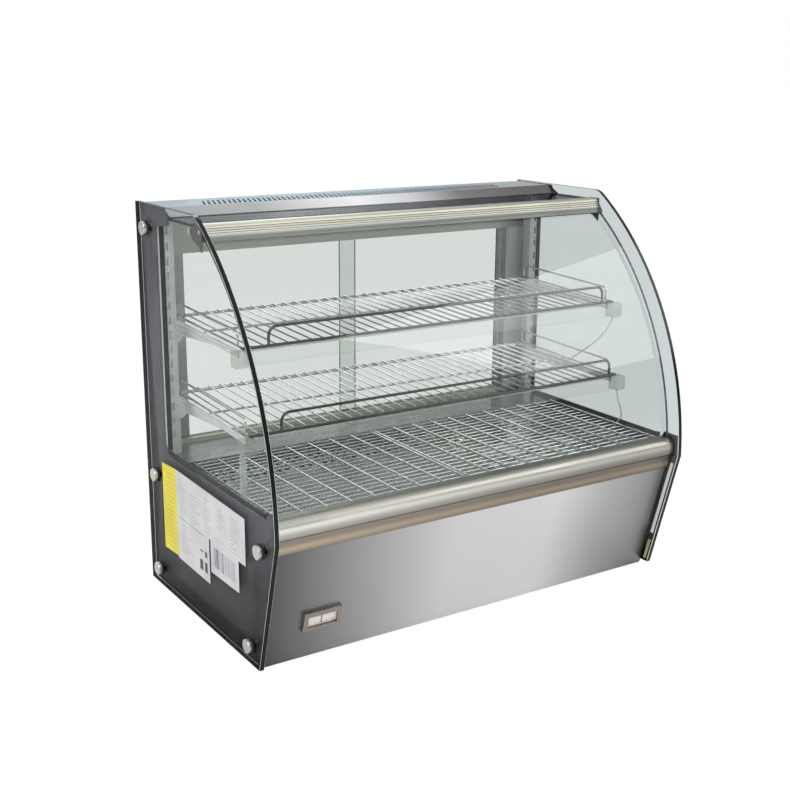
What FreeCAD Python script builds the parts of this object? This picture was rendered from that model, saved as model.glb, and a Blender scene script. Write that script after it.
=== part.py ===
import FreeCAD, Part

import math
import os

import Sketcher

# Hot food display case. Frame: X across the width, -Y the customer's side, +Z up, millimetres.
# The origin is under the middle of the case, on the surface that its feet stand on.

DIMENSIONS = {
    # side glasses: a D-shaped plate each, with a curved front edge
    "glass_outer_half": 428.5,
    "glass_thick": 8,
    "case_rear": 255,
    "case_top": 722,
    "glass_bottom": 14,
    "curve_centre_depth": 322,
    "curve_centre_height": 241,
    "curve_radius": 576.5,
    "shoulder_height": 248,
    "toe_depth": -192,
    "print_thick": 0.3,
    "print_strip_depth": 184,
    # stand-off bolts
    "bolt_rear_depth": 209,
    "bolt_top_height": 680,
    "bolt_middle_height": 231,
    "bolt_low_height": 48,
    "bolt_shoulder_depth": -208,
    "bolt_shoulder_height": 226,
    "bolt_toe_depth": -163,
    "bolt_head_radius": 12,
    "bolt_head_height": 7,
    "bolt_shank_radius": 5,
    "bolt_hole_radius": 5.5,
    "washer_radius": 13,
    "washer_thick": 3,
    # base
    "base_half": 419.3,
    "base_bottom": 6,
    "base_rear": 236,
    "sheet_thick": 1.2,
    "apron_toe_depth": -171,
    "apron_top_depth": -229,
    "apron_top_height": 222,
    "deck_top": 276,
    "deck_floor": 259,
    "deck_front": -214,
    "ledge_front": 113,
    "foot_radius": 16,
    "foot_inset": 60,
    # front curved glass, its rail and hinge axis
    "front_glass_inset": 23,
    "front_glass_thick": 5,
    "front_glass_foot": 281.5,
    "front_glass_crown": 688.9,
    "front_glass_half": 416,
    "hinge_depth": 6,
    "hinge_height": 695,
    "pivot_radius": 4,
    "pivot_clearance": 0.05,
    # top
    "cover_front": 124.5,
    "cover_crease": 152,
    "cover_rear": 249,
    "cover_top": 720,
    "cover_lip": 705.2,
    "top_glass_front": 21.5,
    "top_glass_thick": 5,
    # rear frame and sliding doors
    "post_inner": 394,
    "post_front": 174,
    "post_rear": 196,
    "jamb_inner": 377.3,
    "track_front": 222,
    "track_rear": 246,
    "track_top": 284,
    "header_bottom": 628,
    "door_thick": 4,
    "right_door_free_edge": -30,
    "left_door_free_edge": 10,
    "door_low": 279.4,
    "door_high": 636.4,
    "inner_door_depth": 229,
    "outer_door_depth": 237,
    # wire shelves
    "shelf_half": 391,
    "shelf_tilt": 1.8,
    "shelf_pitch": 22,
    "shelf_rear": 190,
    "upper_shelf_front": -85,
    "upper_shelf_height": 519,
    "lower_shelf_front": -105,
    "lower_shelf_height": 379,
    "guard_height": 31.5,
    "lamp_height": 24,
    "lamp_depth": 20,
    "lamp_half": 386,
    "lamp_cap_end": 408,
    # deck grids
    "grid_joint": -28,
    "grid_half": 414,
    "grid_front": -207,
    "grid_pitch": 16,
    "grid_long_pitch": 44.8,
    "grid_wire_radius": 1.5,
}

doc = FreeCAD.newDocument("hot_food_display_case")
sheet = doc.addObject("Spreadsheet::Sheet", "Sizes")
for row, (alias, number) in enumerate(DIMENSIONS.items(), start=1):
    sheet.set("A%d" % row, alias.replace("_", " "))
    sheet.set("B%d" % row, str(number))
    sheet.setAlias("B%d" % row, alias)
doc.recompute()


class Size:
    """A number together with the spreadsheet expression that gives it."""

    def __init__(self, value, text):
        self.value = float(value)
        self.text = text

    def __add__(self, other):
        return Size(self.value + number_of(other), "(%s + %s)" % (self.text, text_of(other)))

    def __sub__(self, other):
        return Size(self.value - number_of(other), "(%s - %s)" % (self.text, text_of(other)))

    def __rsub__(self, other):
        return Size(number_of(other) - self.value, "(%s - %s)" % (text_of(other), self.text))

    def __mul__(self, other):
        return Size(self.value * number_of(other), "(%s * %s)" % (self.text, text_of(other)))

    def __truediv__(self, other):
        return Size(self.value / number_of(other), "(%s / %s)" % (self.text, text_of(other)))

    def __neg__(self):
        return Size(-self.value, "(0 - %s)" % self.text)

    __radd__ = __add__
    __rmul__ = __mul__


def number_of(size):
    return size.value if isinstance(size, Size) else float(size)


def text_of(size):
    return size.text if isinstance(size, Size) else "%.6f" % size


def root_of(size):
    return Size(math.sqrt(size.value), "sqrt(%s)" % size.text)


def cell(alias):
    return Size(sheet.get(alias), "Sizes." + alias)


exported = []


def keep(item, label):
    """Gives a finished sub-part its label and puts it on the list to write out."""
    item.Label = label
    exported.append(item)
    return item


def bind(item, path, size):
    item.setExpression(path, text_of(size))


def place(item, base, axis=(0, 0, 1), angle=0.0):
    turn = FreeCAD.Rotation(FreeCAD.Vector(*axis), angle)
    item.Placement = FreeCAD.Placement(FreeCAD.Vector(*[number_of(part) for part in base]), turn)
    for letter, part in zip("xyz", base):
        bind(item, "Placement.Base." + letter, part)


def box(name, x, y, z):
    item = doc.addObject("Part::Box", name)
    bind(item, "Length", Size(0, "0") + x[1] - x[0])
    bind(item, "Width", Size(0, "0") + y[1] - y[0])
    bind(item, "Height", Size(0, "0") + z[1] - z[0])
    place(item, (x[0], y[0], z[0]))
    return item


TURNS = {"x": ((0, 1, 0), 90.0), "y": ((1, 0, 0), -90.0), "z": ((0, 0, 1), 0.0)}


def cylinder(name, radius, length, base, along="z"):
    item = doc.addObject("Part::Cylinder", name)
    bind(item, "Radius", radius)
    bind(item, "Height", length)
    axis, angle = TURNS[along]
    place(item, base, axis, angle)
    return item


def join(name, items):
    item = doc.addObject("Part::Compound", name)
    item.Links = items
    return item


def fuse(name, items):
    item = doc.addObject("Part::MultiFuse", name)
    item.Shapes = items
    return item


def cut(name, blank, tools):
    item = doc.addObject("Part::Cut", name)
    item.Base = blank
    item.Tool = tools[0] if len(tools) == 1 else join(name + "_tools", tools)
    return item


def origin_plane(body, role):
    for item in body.Origin.OriginFeatures:
        if item.Role == role:
            return item
    raise RuntimeError("no plane called " + role)


def arc_through(start, end, radius):
    """An arc from start to end. A positive radius has its centre on the left of the way."""
    chord = end - start
    half = chord.Length / 2
    side = FreeCAD.Vector(-chord.y, chord.x, 0).normalize()
    reach = math.sqrt(max(radius * radius - half * half, 0.0))
    sign = 1.0 if radius > 0 else -1.0
    centre = (start + end) * 0.5 + side * (reach * sign)
    first, last = (start, end) if radius > 0 else (end, start)
    circle = Part.Circle(centre, FreeCAD.Vector(0, 0, 1), abs(radius))
    angle_first = math.atan2(first.y - centre.y, first.x - centre.x)
    angle_last = math.atan2(last.y - centre.y, last.x - centre.x)
    return Part.ArcOfCircle(circle, angle_first, angle_last)


def draw_outline(sketch, corners):
    """Draws a closed outline. A corner (u, v, radius) is reached by an arc, the others by a line."""
    points = [FreeCAD.Vector(number_of(c[0]), number_of(c[1]), 0) for c in corners]
    edges = []
    for index, corner in enumerate(corners):
        start = points[index - 1]
        end = points[index]
        if len(corner) == 3:
            radius = number_of(corner[2])
            geo = sketch.addGeometry(arc_through(start, end, radius), False)
            ends = (1, 2) if radius > 0 else (2, 1)
            edges.append((geo, ends, corner[2]))
        else:
            geo = sketch.addGeometry(Part.LineSegment(start, end), False)
            edges.append((geo, (1, 2), None))
    for index, (geo, ends, radius) in enumerate(edges):
        following = edges[(index + 1) % len(edges)]
        sketch.addConstraint(Sketcher.Constraint("Coincident", geo, ends[1], following[0], following[1][0]))
        for kind, size in (("DistanceX", corners[index][0]), ("DistanceY", corners[index][1])):
            rule = sketch.addConstraint(Sketcher.Constraint(kind, -1, 1, geo, ends[1], number_of(size)))
            sketch.setExpression("Constraints[%d]" % rule, text_of(size))
        if radius is not None:
            rule = sketch.addConstraint(Sketcher.Constraint("Radius", geo, abs(number_of(radius))))
            outward = radius if number_of(radius) > 0 else -radius
            sketch.setExpression("Constraints[%d]" % rule, text_of(outward))


def extruded(name, x, corners, plane="YZ_Plane"):
    """A body whose outline, drawn in the Y-Z plane, is padded along X from x[0] to x[1]."""
    body = doc.addObject("PartDesign::Body", name)
    sketch = body.newObject("Sketcher::SketchObject", name + "_outline")
    sketch.AttachmentSupport = [(origin_plane(body, plane), "")]
    sketch.MapMode = "FlatFace"
    doc.recompute()
    draw_outline(sketch, corners)
    pad = body.newObject("PartDesign::Pad", name + "_pad")
    pad.Profile = sketch
    bind(pad, "Length", Size(0, "0") + x[1] - x[0])
    body.Tip = pad
    bind(body, "Placement.Base.x", x[0])
    return body


def solid_feature(name, shape, base=(0, 0, 0), tilt=0.0):
    """A sub-part whose shape is made with Part's own functions. It may lean about the X axis."""
    item = doc.addObject("Part::Feature", name)
    item.Shape = shape
    turn = FreeCAD.Rotation(FreeCAD.Vector(1, 0, 0), tilt)
    item.Placement = FreeCAD.Placement(FreeCAD.Vector(*base), turn)
    return item


def rod(start, end, radius):
    start = FreeCAD.Vector(*start)
    way = FreeCAD.Vector(*end) - start
    return Part.makeCylinder(radius, way.Length, start, way)


def rounded_wire(points, bend=None):
    """Straight runs joined by tangent arcs. Without a bend radius each arc is as large as fits."""
    points = [FreeCAD.Vector(*p) for p in points]
    edges = []
    position = points[0]
    for index in range(1, len(points) - 1):
        corner = points[index]
        back = points[index - 1] - corner
        ahead = points[index + 1] - corner
        turn = math.pi - back.getAngle(ahead)
        radius = bend or 0.45 * min(back.Length, ahead.Length) / math.tan(turn / 2)
        setback = radius * math.tan(turn / 2)
        back.normalize()
        ahead.normalize()
        first = corner + back * setback
        last = corner + ahead * setback
        middle_way = (back + ahead).normalize()
        centre = corner + middle_way * (radius / math.cos(turn / 2))
        middle = centre - middle_way * radius
        edges.append(Part.LineSegment(position, first).toShape())
        edges.append(Part.Arc(first, middle, last).toShape())
        position = last
    edges.append(Part.LineSegment(position, points[-1]).toShape())
    return Part.Wire(edges)


def bent_rod(points, radius, bend=None):
    path = rounded_wire(points, bend)
    way = FreeCAD.Vector(*points[1]) - FreeCAD.Vector(*points[0])
    ring = Part.Wire(Part.makeCircle(radius, FreeCAD.Vector(*points[0]), way))
    tube = path.makePipeShell([ring], True, False)
    expected = math.pi * radius * radius * path.Length
    if abs(tube.Volume - expected) > 0.02 * expected:
        raise RuntimeError("a bent rod has the wrong volume")
    return tube


def fused(shapes):
    return shapes[0].multiFuse(shapes[1:]).removeSplitter()


sheet_thick = cell("sheet_thick")
glass_inner = cell("glass_outer_half") - cell("glass_thick")
print_inner = glass_inner - cell("print_thick")
base_half = cell("base_half")
curve_depth = cell("curve_centre_depth")
curve_height = cell("curve_centre_height")
curve_radius = cell("curve_radius")
deck_top = cell("deck_top")


def on_curve(radius, height):
    """How far forward the front curve of that radius is at a height."""
    rise = height - curve_height
    return curve_depth - root_of(radius * radius - rise * rise)


# ---------------------------------------------------------------- side glasses and their print

shoulder_height = cell("shoulder_height")
glass_bottom = cell("glass_bottom")
case_rear = cell("case_rear")
case_top = cell("case_top")
toe_depth = cell("toe_depth")

SIDE_OUTLINE = [
    (case_rear, glass_bottom),
    (case_rear, case_top),
    (on_curve(curve_radius, case_top) + 11, case_top),
    (on_curve(curve_radius, case_top - 6), case_top - 6, Size(36, "36")),
    (on_curve(curve_radius, shoulder_height), shoulder_height, curve_radius),
    (toe_depth, glass_bottom),
]

# The print frames the glass: a rear strip, a patch over the end of the cover, all below the deck,
# and a raised heel over the end of the sill.
PRINT_OUTLINE = [
    (case_rear - 1, glass_bottom + 1),
    (case_rear - 1, case_top - 1),
    (cell("cover_crease") - 10, case_top - 1),
    (cell("cover_front") + 1.5, case_top - 26),
    (cell("cover_front") + 9, case_top - 32, Size(8, "8")),
    (cell("print_strip_depth") - 8, case_top - 36),
    (cell("print_strip_depth"), case_top - 44, Size(-8, "-8")),
    (cell("print_strip_depth"), deck_top + 30),
    (cell("print_strip_depth") - 30, deck_top, Size(-30, "-30")),
    (cell("apron_top_depth") + 20, deck_top),
    (cell("apron_top_depth") + 12, deck_top + 12),
    (on_curve(curve_radius, deck_top + 12) + 1.5, deck_top + 12),
    (on_curve(curve_radius, shoulder_height) + 1.5, shoulder_height),
    (toe_depth + 1.5, glass_bottom + 1),
]

BOLT_PLACES = [
    (cell("bolt_rear_depth"), cell("bolt_top_height")),
    (cell("bolt_rear_depth"), cell("bolt_middle_height")),
    (cell("bolt_rear_depth"), cell("bolt_low_height")),
    (cell("bolt_shoulder_depth"), cell("bolt_shoulder_height")),
    (cell("bolt_toe_depth"), cell("bolt_low_height")),
]


def bolt_holes(name, start, length):
    radius = cell("bolt_hole_radius")
    return [
        cylinder("%s_hole_%d" % (name, count), radius, length, (start, y, z), "x")
        for count, (y, z) in enumerate(BOLT_PLACES)
    ]


def side_plate(label, x, outline):
    blank = extruded(label + "_blank", x, outline)
    holes = bolt_holes(label, x[0] - 1, Size(0, "0") + x[1] - x[0] + 2)
    return keep(cut(label, blank, holes), label)


side_plate("left_side_glass", (-cell("glass_outer_half"), -glass_inner), SIDE_OUTLINE)
side_plate("right_side_glass", (glass_inner, cell("glass_outer_half")), SIDE_OUTLINE)
side_plate("left_side_print", (-glass_inner, -print_inner), PRINT_OUTLINE)
side_plate("right_side_print", (print_inner, glass_inner), PRINT_OUTLINE)


def side_bolts():
    """Stainless round heads, each with a shank through the glass to the base or the post."""
    washer = cell("washer_thick")
    seat = cell("glass_outer_half") + washer
    head = cell("bolt_head_height")
    shank_length = seat - base_half - 0.2
    bolts = []
    washers = []
    for side in (-1, 1):
        for count, (y, z) in enumerate(BOLT_PLACES):
            tag = "%s_%d" % ("left" if side < 0 else "right", count)
            head_start = seat if side > 0 else -seat - head
            shank_start = base_half + 0.2 if side > 0 else -seat
            washer_start = cell("glass_outer_half") if side > 0 else -seat
            disc = cylinder("head_" + tag, cell("bolt_head_radius"), head, (head_start, y, z), "x")
            shank = cylinder("shank_" + tag, cell("bolt_shank_radius"), shank_length, (shank_start, y, z), "x")
            bolts.append(fuse("bolt_" + tag, [disc, shank]))
            ring = cylinder("ring_" + tag, cell("washer_radius"), washer, (washer_start, y, z), "x")
            bore = cylinder("bore_" + tag, cell("bolt_shank_radius"), washer, (washer_start, y, z), "x")
            washers.append(cut("washer_" + tag, ring, [bore]))
    keep(join("side_bolts", bolts), "side_bolts")
    keep(join("side_bolt_washers", washers), "side_bolt_washers")


side_bolts()

# ---------------------------------------------------------------- base

base_bottom = cell("base_bottom")
base_rear = cell("base_rear")
apron_toe = cell("apron_toe_depth")
apron_top_depth = cell("apron_top_depth")
apron_top_height = cell("apron_top_height")
deck_floor = cell("deck_floor")


def base_pan():
    outline = [
        (base_rear - sheet_thick, base_bottom),
        (base_rear - sheet_thick, deck_floor - sheet_thick),
        (cell("deck_front"), deck_floor - sheet_thick),
        (cell("deck_front"), apron_top_height - 4),
        (apron_top_depth + 4, apron_top_height - 4),
        (apron_toe + 3, base_bottom),
    ]
    hollow = [
        (base_rear + 5, base_bottom + sheet_thick),
        (base_rear + 5, deck_floor + 5),
        (apron_top_depth - 9, deck_floor + 5),
        (apron_top_depth - 9, base_bottom + sheet_thick),
    ]
    blank = extruded("base_pan_blank", (-base_half, base_half), outline)
    room = extruded("base_pan_room", (-base_half + sheet_thick, base_half - sheet_thick), hollow)
    keep(cut("base_pan", blank, [room]), "base_pan")


def front_apron():
    """The leaning stainless front, with a flange under the sill and one under the base."""
    run = (apron_toe - apron_top_depth) / (apron_top_height - base_bottom)
    inner = sheet_thick * 1.04
    outline = [
        (apron_toe, base_bottom),
        (apron_toe + inner, base_bottom),
        (apron_top_depth + inner + run * sheet_thick, apron_top_height - sheet_thick),
        (apron_top_depth + 14, apron_top_height - sheet_thick),
        (apron_top_depth + 14, apron_top_height),
        (apron_top_depth, apron_top_height),
    ]
    keep(extruded("front_apron", (-base_half, base_half), outline), "front_apron")


def base_sill():
    """The rounded aluminium sill: a bullnose, a thin groove and a hollow lower band."""
    nose = apron_top_depth - 15
    outline = [
        (apron_top_depth + 14, apron_top_height + 0.1),
        (apron_top_depth + 14, deck_top + 5),
        (apron_top_depth - 3, deck_top + 5),
        (nose, deck_top - 9, Size(15, "15")),
        (nose, deck_top - 22),
        (nose + 1.6, deck_top - 23),
        (nose + 1.6, deck_top - 25),
        (nose, deck_top - 26),
        (apron_top_depth - 5, apron_top_height + 1.5, Size(-42, "-42")),
        (apron_top_depth - 3.5, apron_top_height + 0.1),
    ]
    keep(extruded("base_sill", (-base_half + 2.7, base_half - 2.7), outline), "base_sill")


def sill_ends():
    """A black end piece on each end of the sill, with a heel that stands over its rear edge."""
    outline = [
        (apron_top_depth + 14, apron_top_height + 1),
        (apron_top_depth + 14, deck_top + 7),
        (apron_top_depth + 10, deck_top + 13),
        (apron_top_depth + 2, deck_top + 13),
        (apron_top_depth - 3, deck_top + 6),
        (apron_top_depth - 16, deck_top - 8, Size(15, "15")),
        (apron_top_depth - 16, deck_top - 27),
        (apron_top_depth - 6, apron_top_height + 1, Size(-42, "-42")),
    ]
    right = extruded("sill_end_right", (base_half - 2.6, base_half + 0.8), outline)
    left = extruded("sill_end_left", (-base_half - 0.8, -base_half + 2.6), outline)
    keep(join("sill_ends", [left, right]), "sill_ends")


def deck_pan():
    """The cabinet's floor: a rear ledge, a sunk floor with two openings, and a front lip."""
    front = cell("deck_front")
    ledge = cell("ledge_front")
    outline = [
        (cell("track_rear"), deck_top - sheet_thick),
        (cell("track_rear"), deck_top),
        (ledge, deck_top),
        (ledge, deck_floor),
        (front + sheet_thick, deck_floor),
        (front + sheet_thick, deck_top - 4),
        (front, deck_top - 4),
        (front, deck_floor - sheet_thick),
        (ledge + sheet_thick, deck_floor - sheet_thick),
        (ledge + sheet_thick, deck_top - sheet_thick),
    ]
    blank = extruded("deck_pan_blank", (-base_half, base_half), outline)
    air = box("deck_air_opening", (-400, 40), (0, 96), (deck_floor - 4, deck_floor + 4))
    tray = box("deck_tray_opening", (62, 398), (-176, 84), (deck_floor - 4, deck_floor + 4))
    keep(cut("deck_pan", blank, [air, tray]), "deck_pan")


def air_outlet_plate():
    """The plate over the blower duct, with two rows of slots that the hot air rises through."""
    slot_pitch = 15.2
    plate = Part.makeBox(452, 108, 1.5, FreeCAD.Vector(-406, -6, number_of(deck_floor)))
    slots = []
    for row_depth in (22, 62):
        for count in range(27):
            corner = FreeCAD.Vector(-380 + slot_pitch * count, row_depth, number_of(deck_floor) - 1)
            slots.append(Part.makeBox(7, 24, 4, corner))
    keep(solid_feature("air_outlet_plate", plate.cut(Part.makeCompound(slots))), "air_outlet_plate")


def water_tray():
    """A shallow pan that keeps the food moist; its rim hangs on the deck's floor."""
    rim = box("water_tray_rim", (56, 404), (-182, 90), (deck_floor, deck_floor + 1.2))
    pan = box("water_tray_pan", (64, 396), (-174, 82), (deck_floor - 26, deck_floor + 0.6))
    room = box("water_tray_room", (65.2, 394.8), (-172.8, 80.8), (deck_floor - 24.8, deck_floor + 5))
    keep(cut("water_tray", fuse("water_tray_blank", [rim, pan]), [room]), "water_tray")


def rubber_feet():
    radius = cell("foot_radius")
    inset = cell("foot_inset")
    x = base_half - inset
    feet = []
    for count, (side, y) in enumerate(((-1, base_rear - inset), (1, base_rear - inset),
                                       (-1, apron_toe + inset), (1, apron_toe + inset))):
        feet.append(cylinder("foot_%d" % count, radius, base_bottom, (x * side, y, 0)))
    keep(join("rubber_feet", feet), "rubber_feet")


base_pan()
front_apron()
base_sill()
sill_ends()
deck_pan()
air_outlet_plate()
water_tray()
rubber_feet()

# ---------------------------------------------------------------- thermometer on the front

APRON_LEAN = math.degrees(math.atan2(
    number_of(apron_toe - apron_top_depth), number_of(apron_top_height - base_bottom)))
THERMOMETER_X = -314.5
THERMOMETER_HEIGHT = 80.0
THERMOMETER_WIDTH = 71.0
THERMOMETER_TALL = 37.0
THERMOMETER_PROUD = 7.5


def thermometer():
    """Its parts are drawn with the dial facing -Y round (0, 0, 0), then leaned with the apron."""
    slope = number_of((apron_toe - apron_top_depth) / (apron_top_height - base_bottom))
    rise = THERMOMETER_HEIGHT - number_of(base_bottom)
    base = (THERMOMETER_X, number_of(apron_toe) - slope * rise - 0.05, THERMOMETER_HEIGHT)

    def block(width, tall, front, back):
        corner = FreeCAD.Vector(-width / 2, front, -tall / 2)
        return Part.makeBox(width, back - front, tall, corner)

    bezel = block(THERMOMETER_WIDTH, THERMOMETER_TALL, -THERMOMETER_PROUD, 0)
    bezel = bezel.makeFillet(2.5, [e for e in bezel.Edges if e.BoundBox.YMax < -THERMOMETER_PROUD + 0.1])
    window = block(55, 22, -THERMOMETER_PROUD - 1, -3.0)
    well = block(59, 26, -5.2, -1.2)
    case = bezel.cut(window).cut(well)
    dial = block(58, 25, -2.2, -1.4)
    boss = Part.makeCylinder(1.0, 1.2, FreeCAD.Vector(0, -3.8, -7.5), FreeCAD.Vector(0, 1, 0))
    needle = Part.makeBox(1.2, 0.5, 15.0, FreeCAD.Vector(-0.6, -3.6, -7.5))
    lens = block(58.5, 25.5, -5.1, -4.2)
    keep(solid_feature("thermometer_case", case, base, APRON_LEAN), "thermometer_case")
    keep(solid_feature("thermometer_dial", dial, base, APRON_LEAN), "thermometer_dial")
    keep(solid_feature("thermometer_needle", boss.fuse(needle), base, APRON_LEAN), "thermometer_needle")
    keep(solid_feature("thermometer_lens", lens, base, APRON_LEAN), "thermometer_lens")


thermometer()

# ---------------------------------------------------------------- top

cover_rear = cell("cover_rear")
cover_top = cell("cover_top")
cover_front = cell("cover_front")
cover_lip = cell("cover_lip")
crease = cell("cover_crease")


def top_cover():
    """Folded stainless cover: flat with slanted vents, then a sloping fascia over the top glass."""
    outline = [
        (cover_rear - sheet_thick, cover_top - 24),
        (cover_rear, cover_top - 24),
        (cover_rear, cover_top),
        (crease, cover_top),
        (cover_front, cover_lip + 1.2),
        (cover_front, cover_lip),
        (crease + 0.4, cover_top - sheet_thick),
        (cover_rear - sheet_thick, cover_top - sheet_thick),
    ]
    blank = extruded("top_cover_blank", (-base_half, base_half), outline)
    vents = []
    for count in range(66):
        vent = Part.makeBox(4, 56, 6, FreeCAD.Vector(-2, -28, -3))
        vent.rotate(FreeCAD.Vector(0, 0, 0), FreeCAD.Vector(0, 0, 1), -20)
        vent.translate(FreeCAD.Vector(-330 + 9.8 * count, 185, number_of(cover_top)))
        vents.append(vent)
    tool = solid_feature("top_cover_vents", Part.makeCompound(vents))
    keep(cut("top_cover", blank, [tool]), "top_cover")


def cover_gaskets():
    """A black rubber strip between each end of the cover and the side glass."""
    outline = [
        (cover_rear - 2, cover_top - 4),
        (cover_rear - 2, cover_top + 1),
        (crease - 1, cover_top + 1),
        (cover_front - 3, cover_lip + 0.5),
        (cover_front - 3, cover_lip - 4),
        (cover_front, cover_lip - 6),
        (crease, cover_top - 7),
    ]
    left = extruded("cover_gasket_left", (-print_inner, -base_half - 0.05), outline)
    right = extruded("cover_gasket_right", (base_half + 0.05, print_inner), outline)
    keep(join("cover_gaskets", [left, right]), "cover_gaskets")


def top_glass():
    top = cover_lip - 0.1
    y = (cell("top_glass_front"), cover_front + 18)
    keep(box("top_glass", (-base_half, base_half), y, (top - cell("top_glass_thick"), top)), "top_glass")


top_cover()
cover_gaskets()
top_glass()

# ---------------------------------------------------------------- front glass, rail and hinge

hinge_depth = cell("hinge_depth")
hinge_height = cell("hinge_height")
glass_outer_radius = curve_radius - cell("front_glass_inset")
glass_inner_radius = glass_outer_radius - cell("front_glass_thick")


def front_glass():
    foot = cell("front_glass_foot")
    crown = cell("front_glass_crown")
    half = cell("front_glass_half")
    inward = glass_inner_radius / glass_outer_radius
    inner_crown = curve_height + (crown - curve_height) * inward
    outline = [
        (on_curve(glass_inner_radius, foot), foot),
        (on_curve(glass_inner_radius, inner_crown), inner_crown, -glass_inner_radius),
        (on_curve(glass_outer_radius, crown), crown),
        (on_curve(glass_outer_radius, foot), foot, glass_outer_radius),
    ]
    keep(extruded("front_glass", (-half, half), outline), "front_glass")


def front_rail():
    """The aluminium beam that carries the front glass in a slot and turns on two pivots."""
    outline = [
        (hinge_depth - 7, hinge_height + 13),
        (hinge_depth - 10, hinge_height + 9),
        (hinge_depth - 9.4, hinge_height + 8.2),
        (hinge_depth - 12.5, hinge_height + 4.6),
        (hinge_depth - 13.4, hinge_height + 4.8),
        (hinge_depth - 19, hinge_height - 5),
        (hinge_depth - 15.2, hinge_height - 10.1),
        (hinge_depth - 8.8, hinge_height - 5.3),
        (hinge_depth - 5.2, hinge_height - 9.9),
        (hinge_depth - 11.7, hinge_height - 14.9),
        (hinge_depth - 11, hinge_height - 15.5),
        (hinge_depth + 8, hinge_height - 15.5),
        (hinge_depth + 11, hinge_height - 12),
        (hinge_depth + 11, hinge_height + 9),
        (hinge_depth + 6, hinge_height + 13),
    ]
    half = cell("front_glass_half")
    blank = extruded("front_rail_blank", (-half, half), outline)
    radius = cell("pivot_radius") + cell("pivot_clearance")
    bores = [
        cylinder("rail_bore_left", radius, 12, (-half - 2, hinge_depth, hinge_height), "x"),
        cylinder("rail_bore_right", radius, 12, (half - 10, hinge_depth, hinge_height), "x"),
    ]
    keep(cut("front_rail", blank, bores), "front_rail")


def rail_brackets():
    """A dark gusset plate on each side glass, which holds the pivot."""
    outline = [
        (hinge_depth + 28, hinge_height - 14),
        (hinge_depth + 30, hinge_height + 4),
        (hinge_depth + 14, hinge_height + 4),
        (hinge_depth + 14, hinge_height + 12),
        (hinge_depth - 8, hinge_height + 12),
        (hinge_depth - 10, hinge_height - 16),
        (hinge_depth - 8, hinge_height - 32),
        (hinge_depth + 8, hinge_height - 22),
    ]
    plates = []
    for side, x in (("left", (-print_inner, -print_inner + 2)), ("right", (print_inner - 2, print_inner))):
        blank = extruded("rail_bracket_blank_" + side, x, outline)
        hole = cylinder("rail_bracket_hole_" + side, cell("pivot_radius"), 4,
                        (x[0] - 1, hinge_depth, hinge_height), "x")
        plates.append(cut("rail_bracket_" + side, blank, [hole]))
    keep(join("rail_brackets", plates), "rail_brackets")


def rail_pivots():
    radius = cell("pivot_radius")
    half = cell("front_glass_half")
    length = print_inner - half + 8
    left = cylinder("rail_pivot_left", radius, length, (-print_inner, hinge_depth, hinge_height), "x")
    right = cylinder("rail_pivot_right", radius, length, (half - 8, hinge_depth, hinge_height), "x")
    keep(join("rail_pivots", [left, right]), "rail_pivots")


front_glass()
front_rail()
rail_brackets()
rail_pivots()

# ---------------------------------------------------------------- rear frame and doors

post_inner = cell("post_inner")
post_front = cell("post_front")
post_rear = cell("post_rear")
track_front = cell("track_front")
track_rear = cell("track_rear")
inner_door = cell("inner_door_depth")
outer_door = cell("outer_door_depth")
door_thick = cell("door_thick")
groove = 0.8


def upright(label, side):
    """A channel upright, open to the rear, with a column of slots for the shelf arms."""
    wall = 1.5
    outer_x = (post_inner, base_half) if side > 0 else (-base_half, -post_inner)
    height = (deck_top, cover_top - sheet_thick)
    blank = box(label + "_blank", outer_x, (post_front, post_rear), height)
    room = box(label + "_room", (outer_x[0] + wall, outer_x[1] - wall), (post_front + wall, post_rear + 1),
               (deck_top - 1, cover_top + 1))
    slots = []
    middle = number_of(outer_x[0] + outer_x[1]) / 2
    for count in range(15):
        low = number_of(deck_top) + 30 + 26 * count
        slots.append(Part.makeBox(4, 6, 13, FreeCAD.Vector(middle - 2, number_of(post_front) - 2, low)))
    slot_tool = solid_feature(label + "_slots", Part.makeCompound(slots))
    keep(cut(label, blank, [room, slot_tool]), label)


def rear_jambs():
    """A hollow corner post at each end of the rear frame; the closed doors stop beside it."""
    inner = cell("jamb_inner")
    wall = 1.5
    y = (track_front, track_rear)
    z = (cell("track_top") + 0.2, cell("header_bottom") - 0.2)
    posts = []
    for side, x in (("left", (-base_half, -inner)), ("right", (inner, base_half))):
        blank = box("rear_jamb_blank_" + side, x, y, z)
        room = box("rear_jamb_room_" + side, (x[0] + wall, x[1] - wall), (y[0] + wall, y[1] - wall),
                   (z[0] - 1, z[1] + 1))
        posts.append(cut("rear_jamb_" + side, blank, [room]))
    keep(join("rear_jambs", posts), "rear_jambs")


def track_outline(low, high, groove_from, groove_to):
    """A track with a groove for each door; the grooves run from one height to another."""
    corners = [(track_front, low), (track_front, high)]
    for door in (inner_door, outer_door):
        corners.append((door - groove, groove_to))
        corners.append((door - groove, groove_from))
        corners.append((door + door_thick + groove, groove_from))
        corners.append((door + door_thick + groove, groove_to))
    corners.append((track_rear, high))
    corners.append((track_rear, low))
    return corners


def rear_tracks():
    top = cell("track_top")
    low_outline = track_outline(deck_top, top, deck_top + 3, top)
    keep(extruded("rear_sill_track", (-base_half, base_half), low_outline), "rear_sill_track")
    low = cell("header_bottom")
    high = cover_top - sheet_thick
    outline = track_outline(high, low, low + 10, low)
    wall = 2
    outline[-1:] = [
        (track_rear, high),
        (track_rear - wall, high),
        (track_rear - wall, low + 12),
        (track_front + wall, low + 12),
        (track_front + wall, high),
    ]
    keep(extruded("rear_header", (-base_half, base_half), outline), "rear_header")


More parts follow.
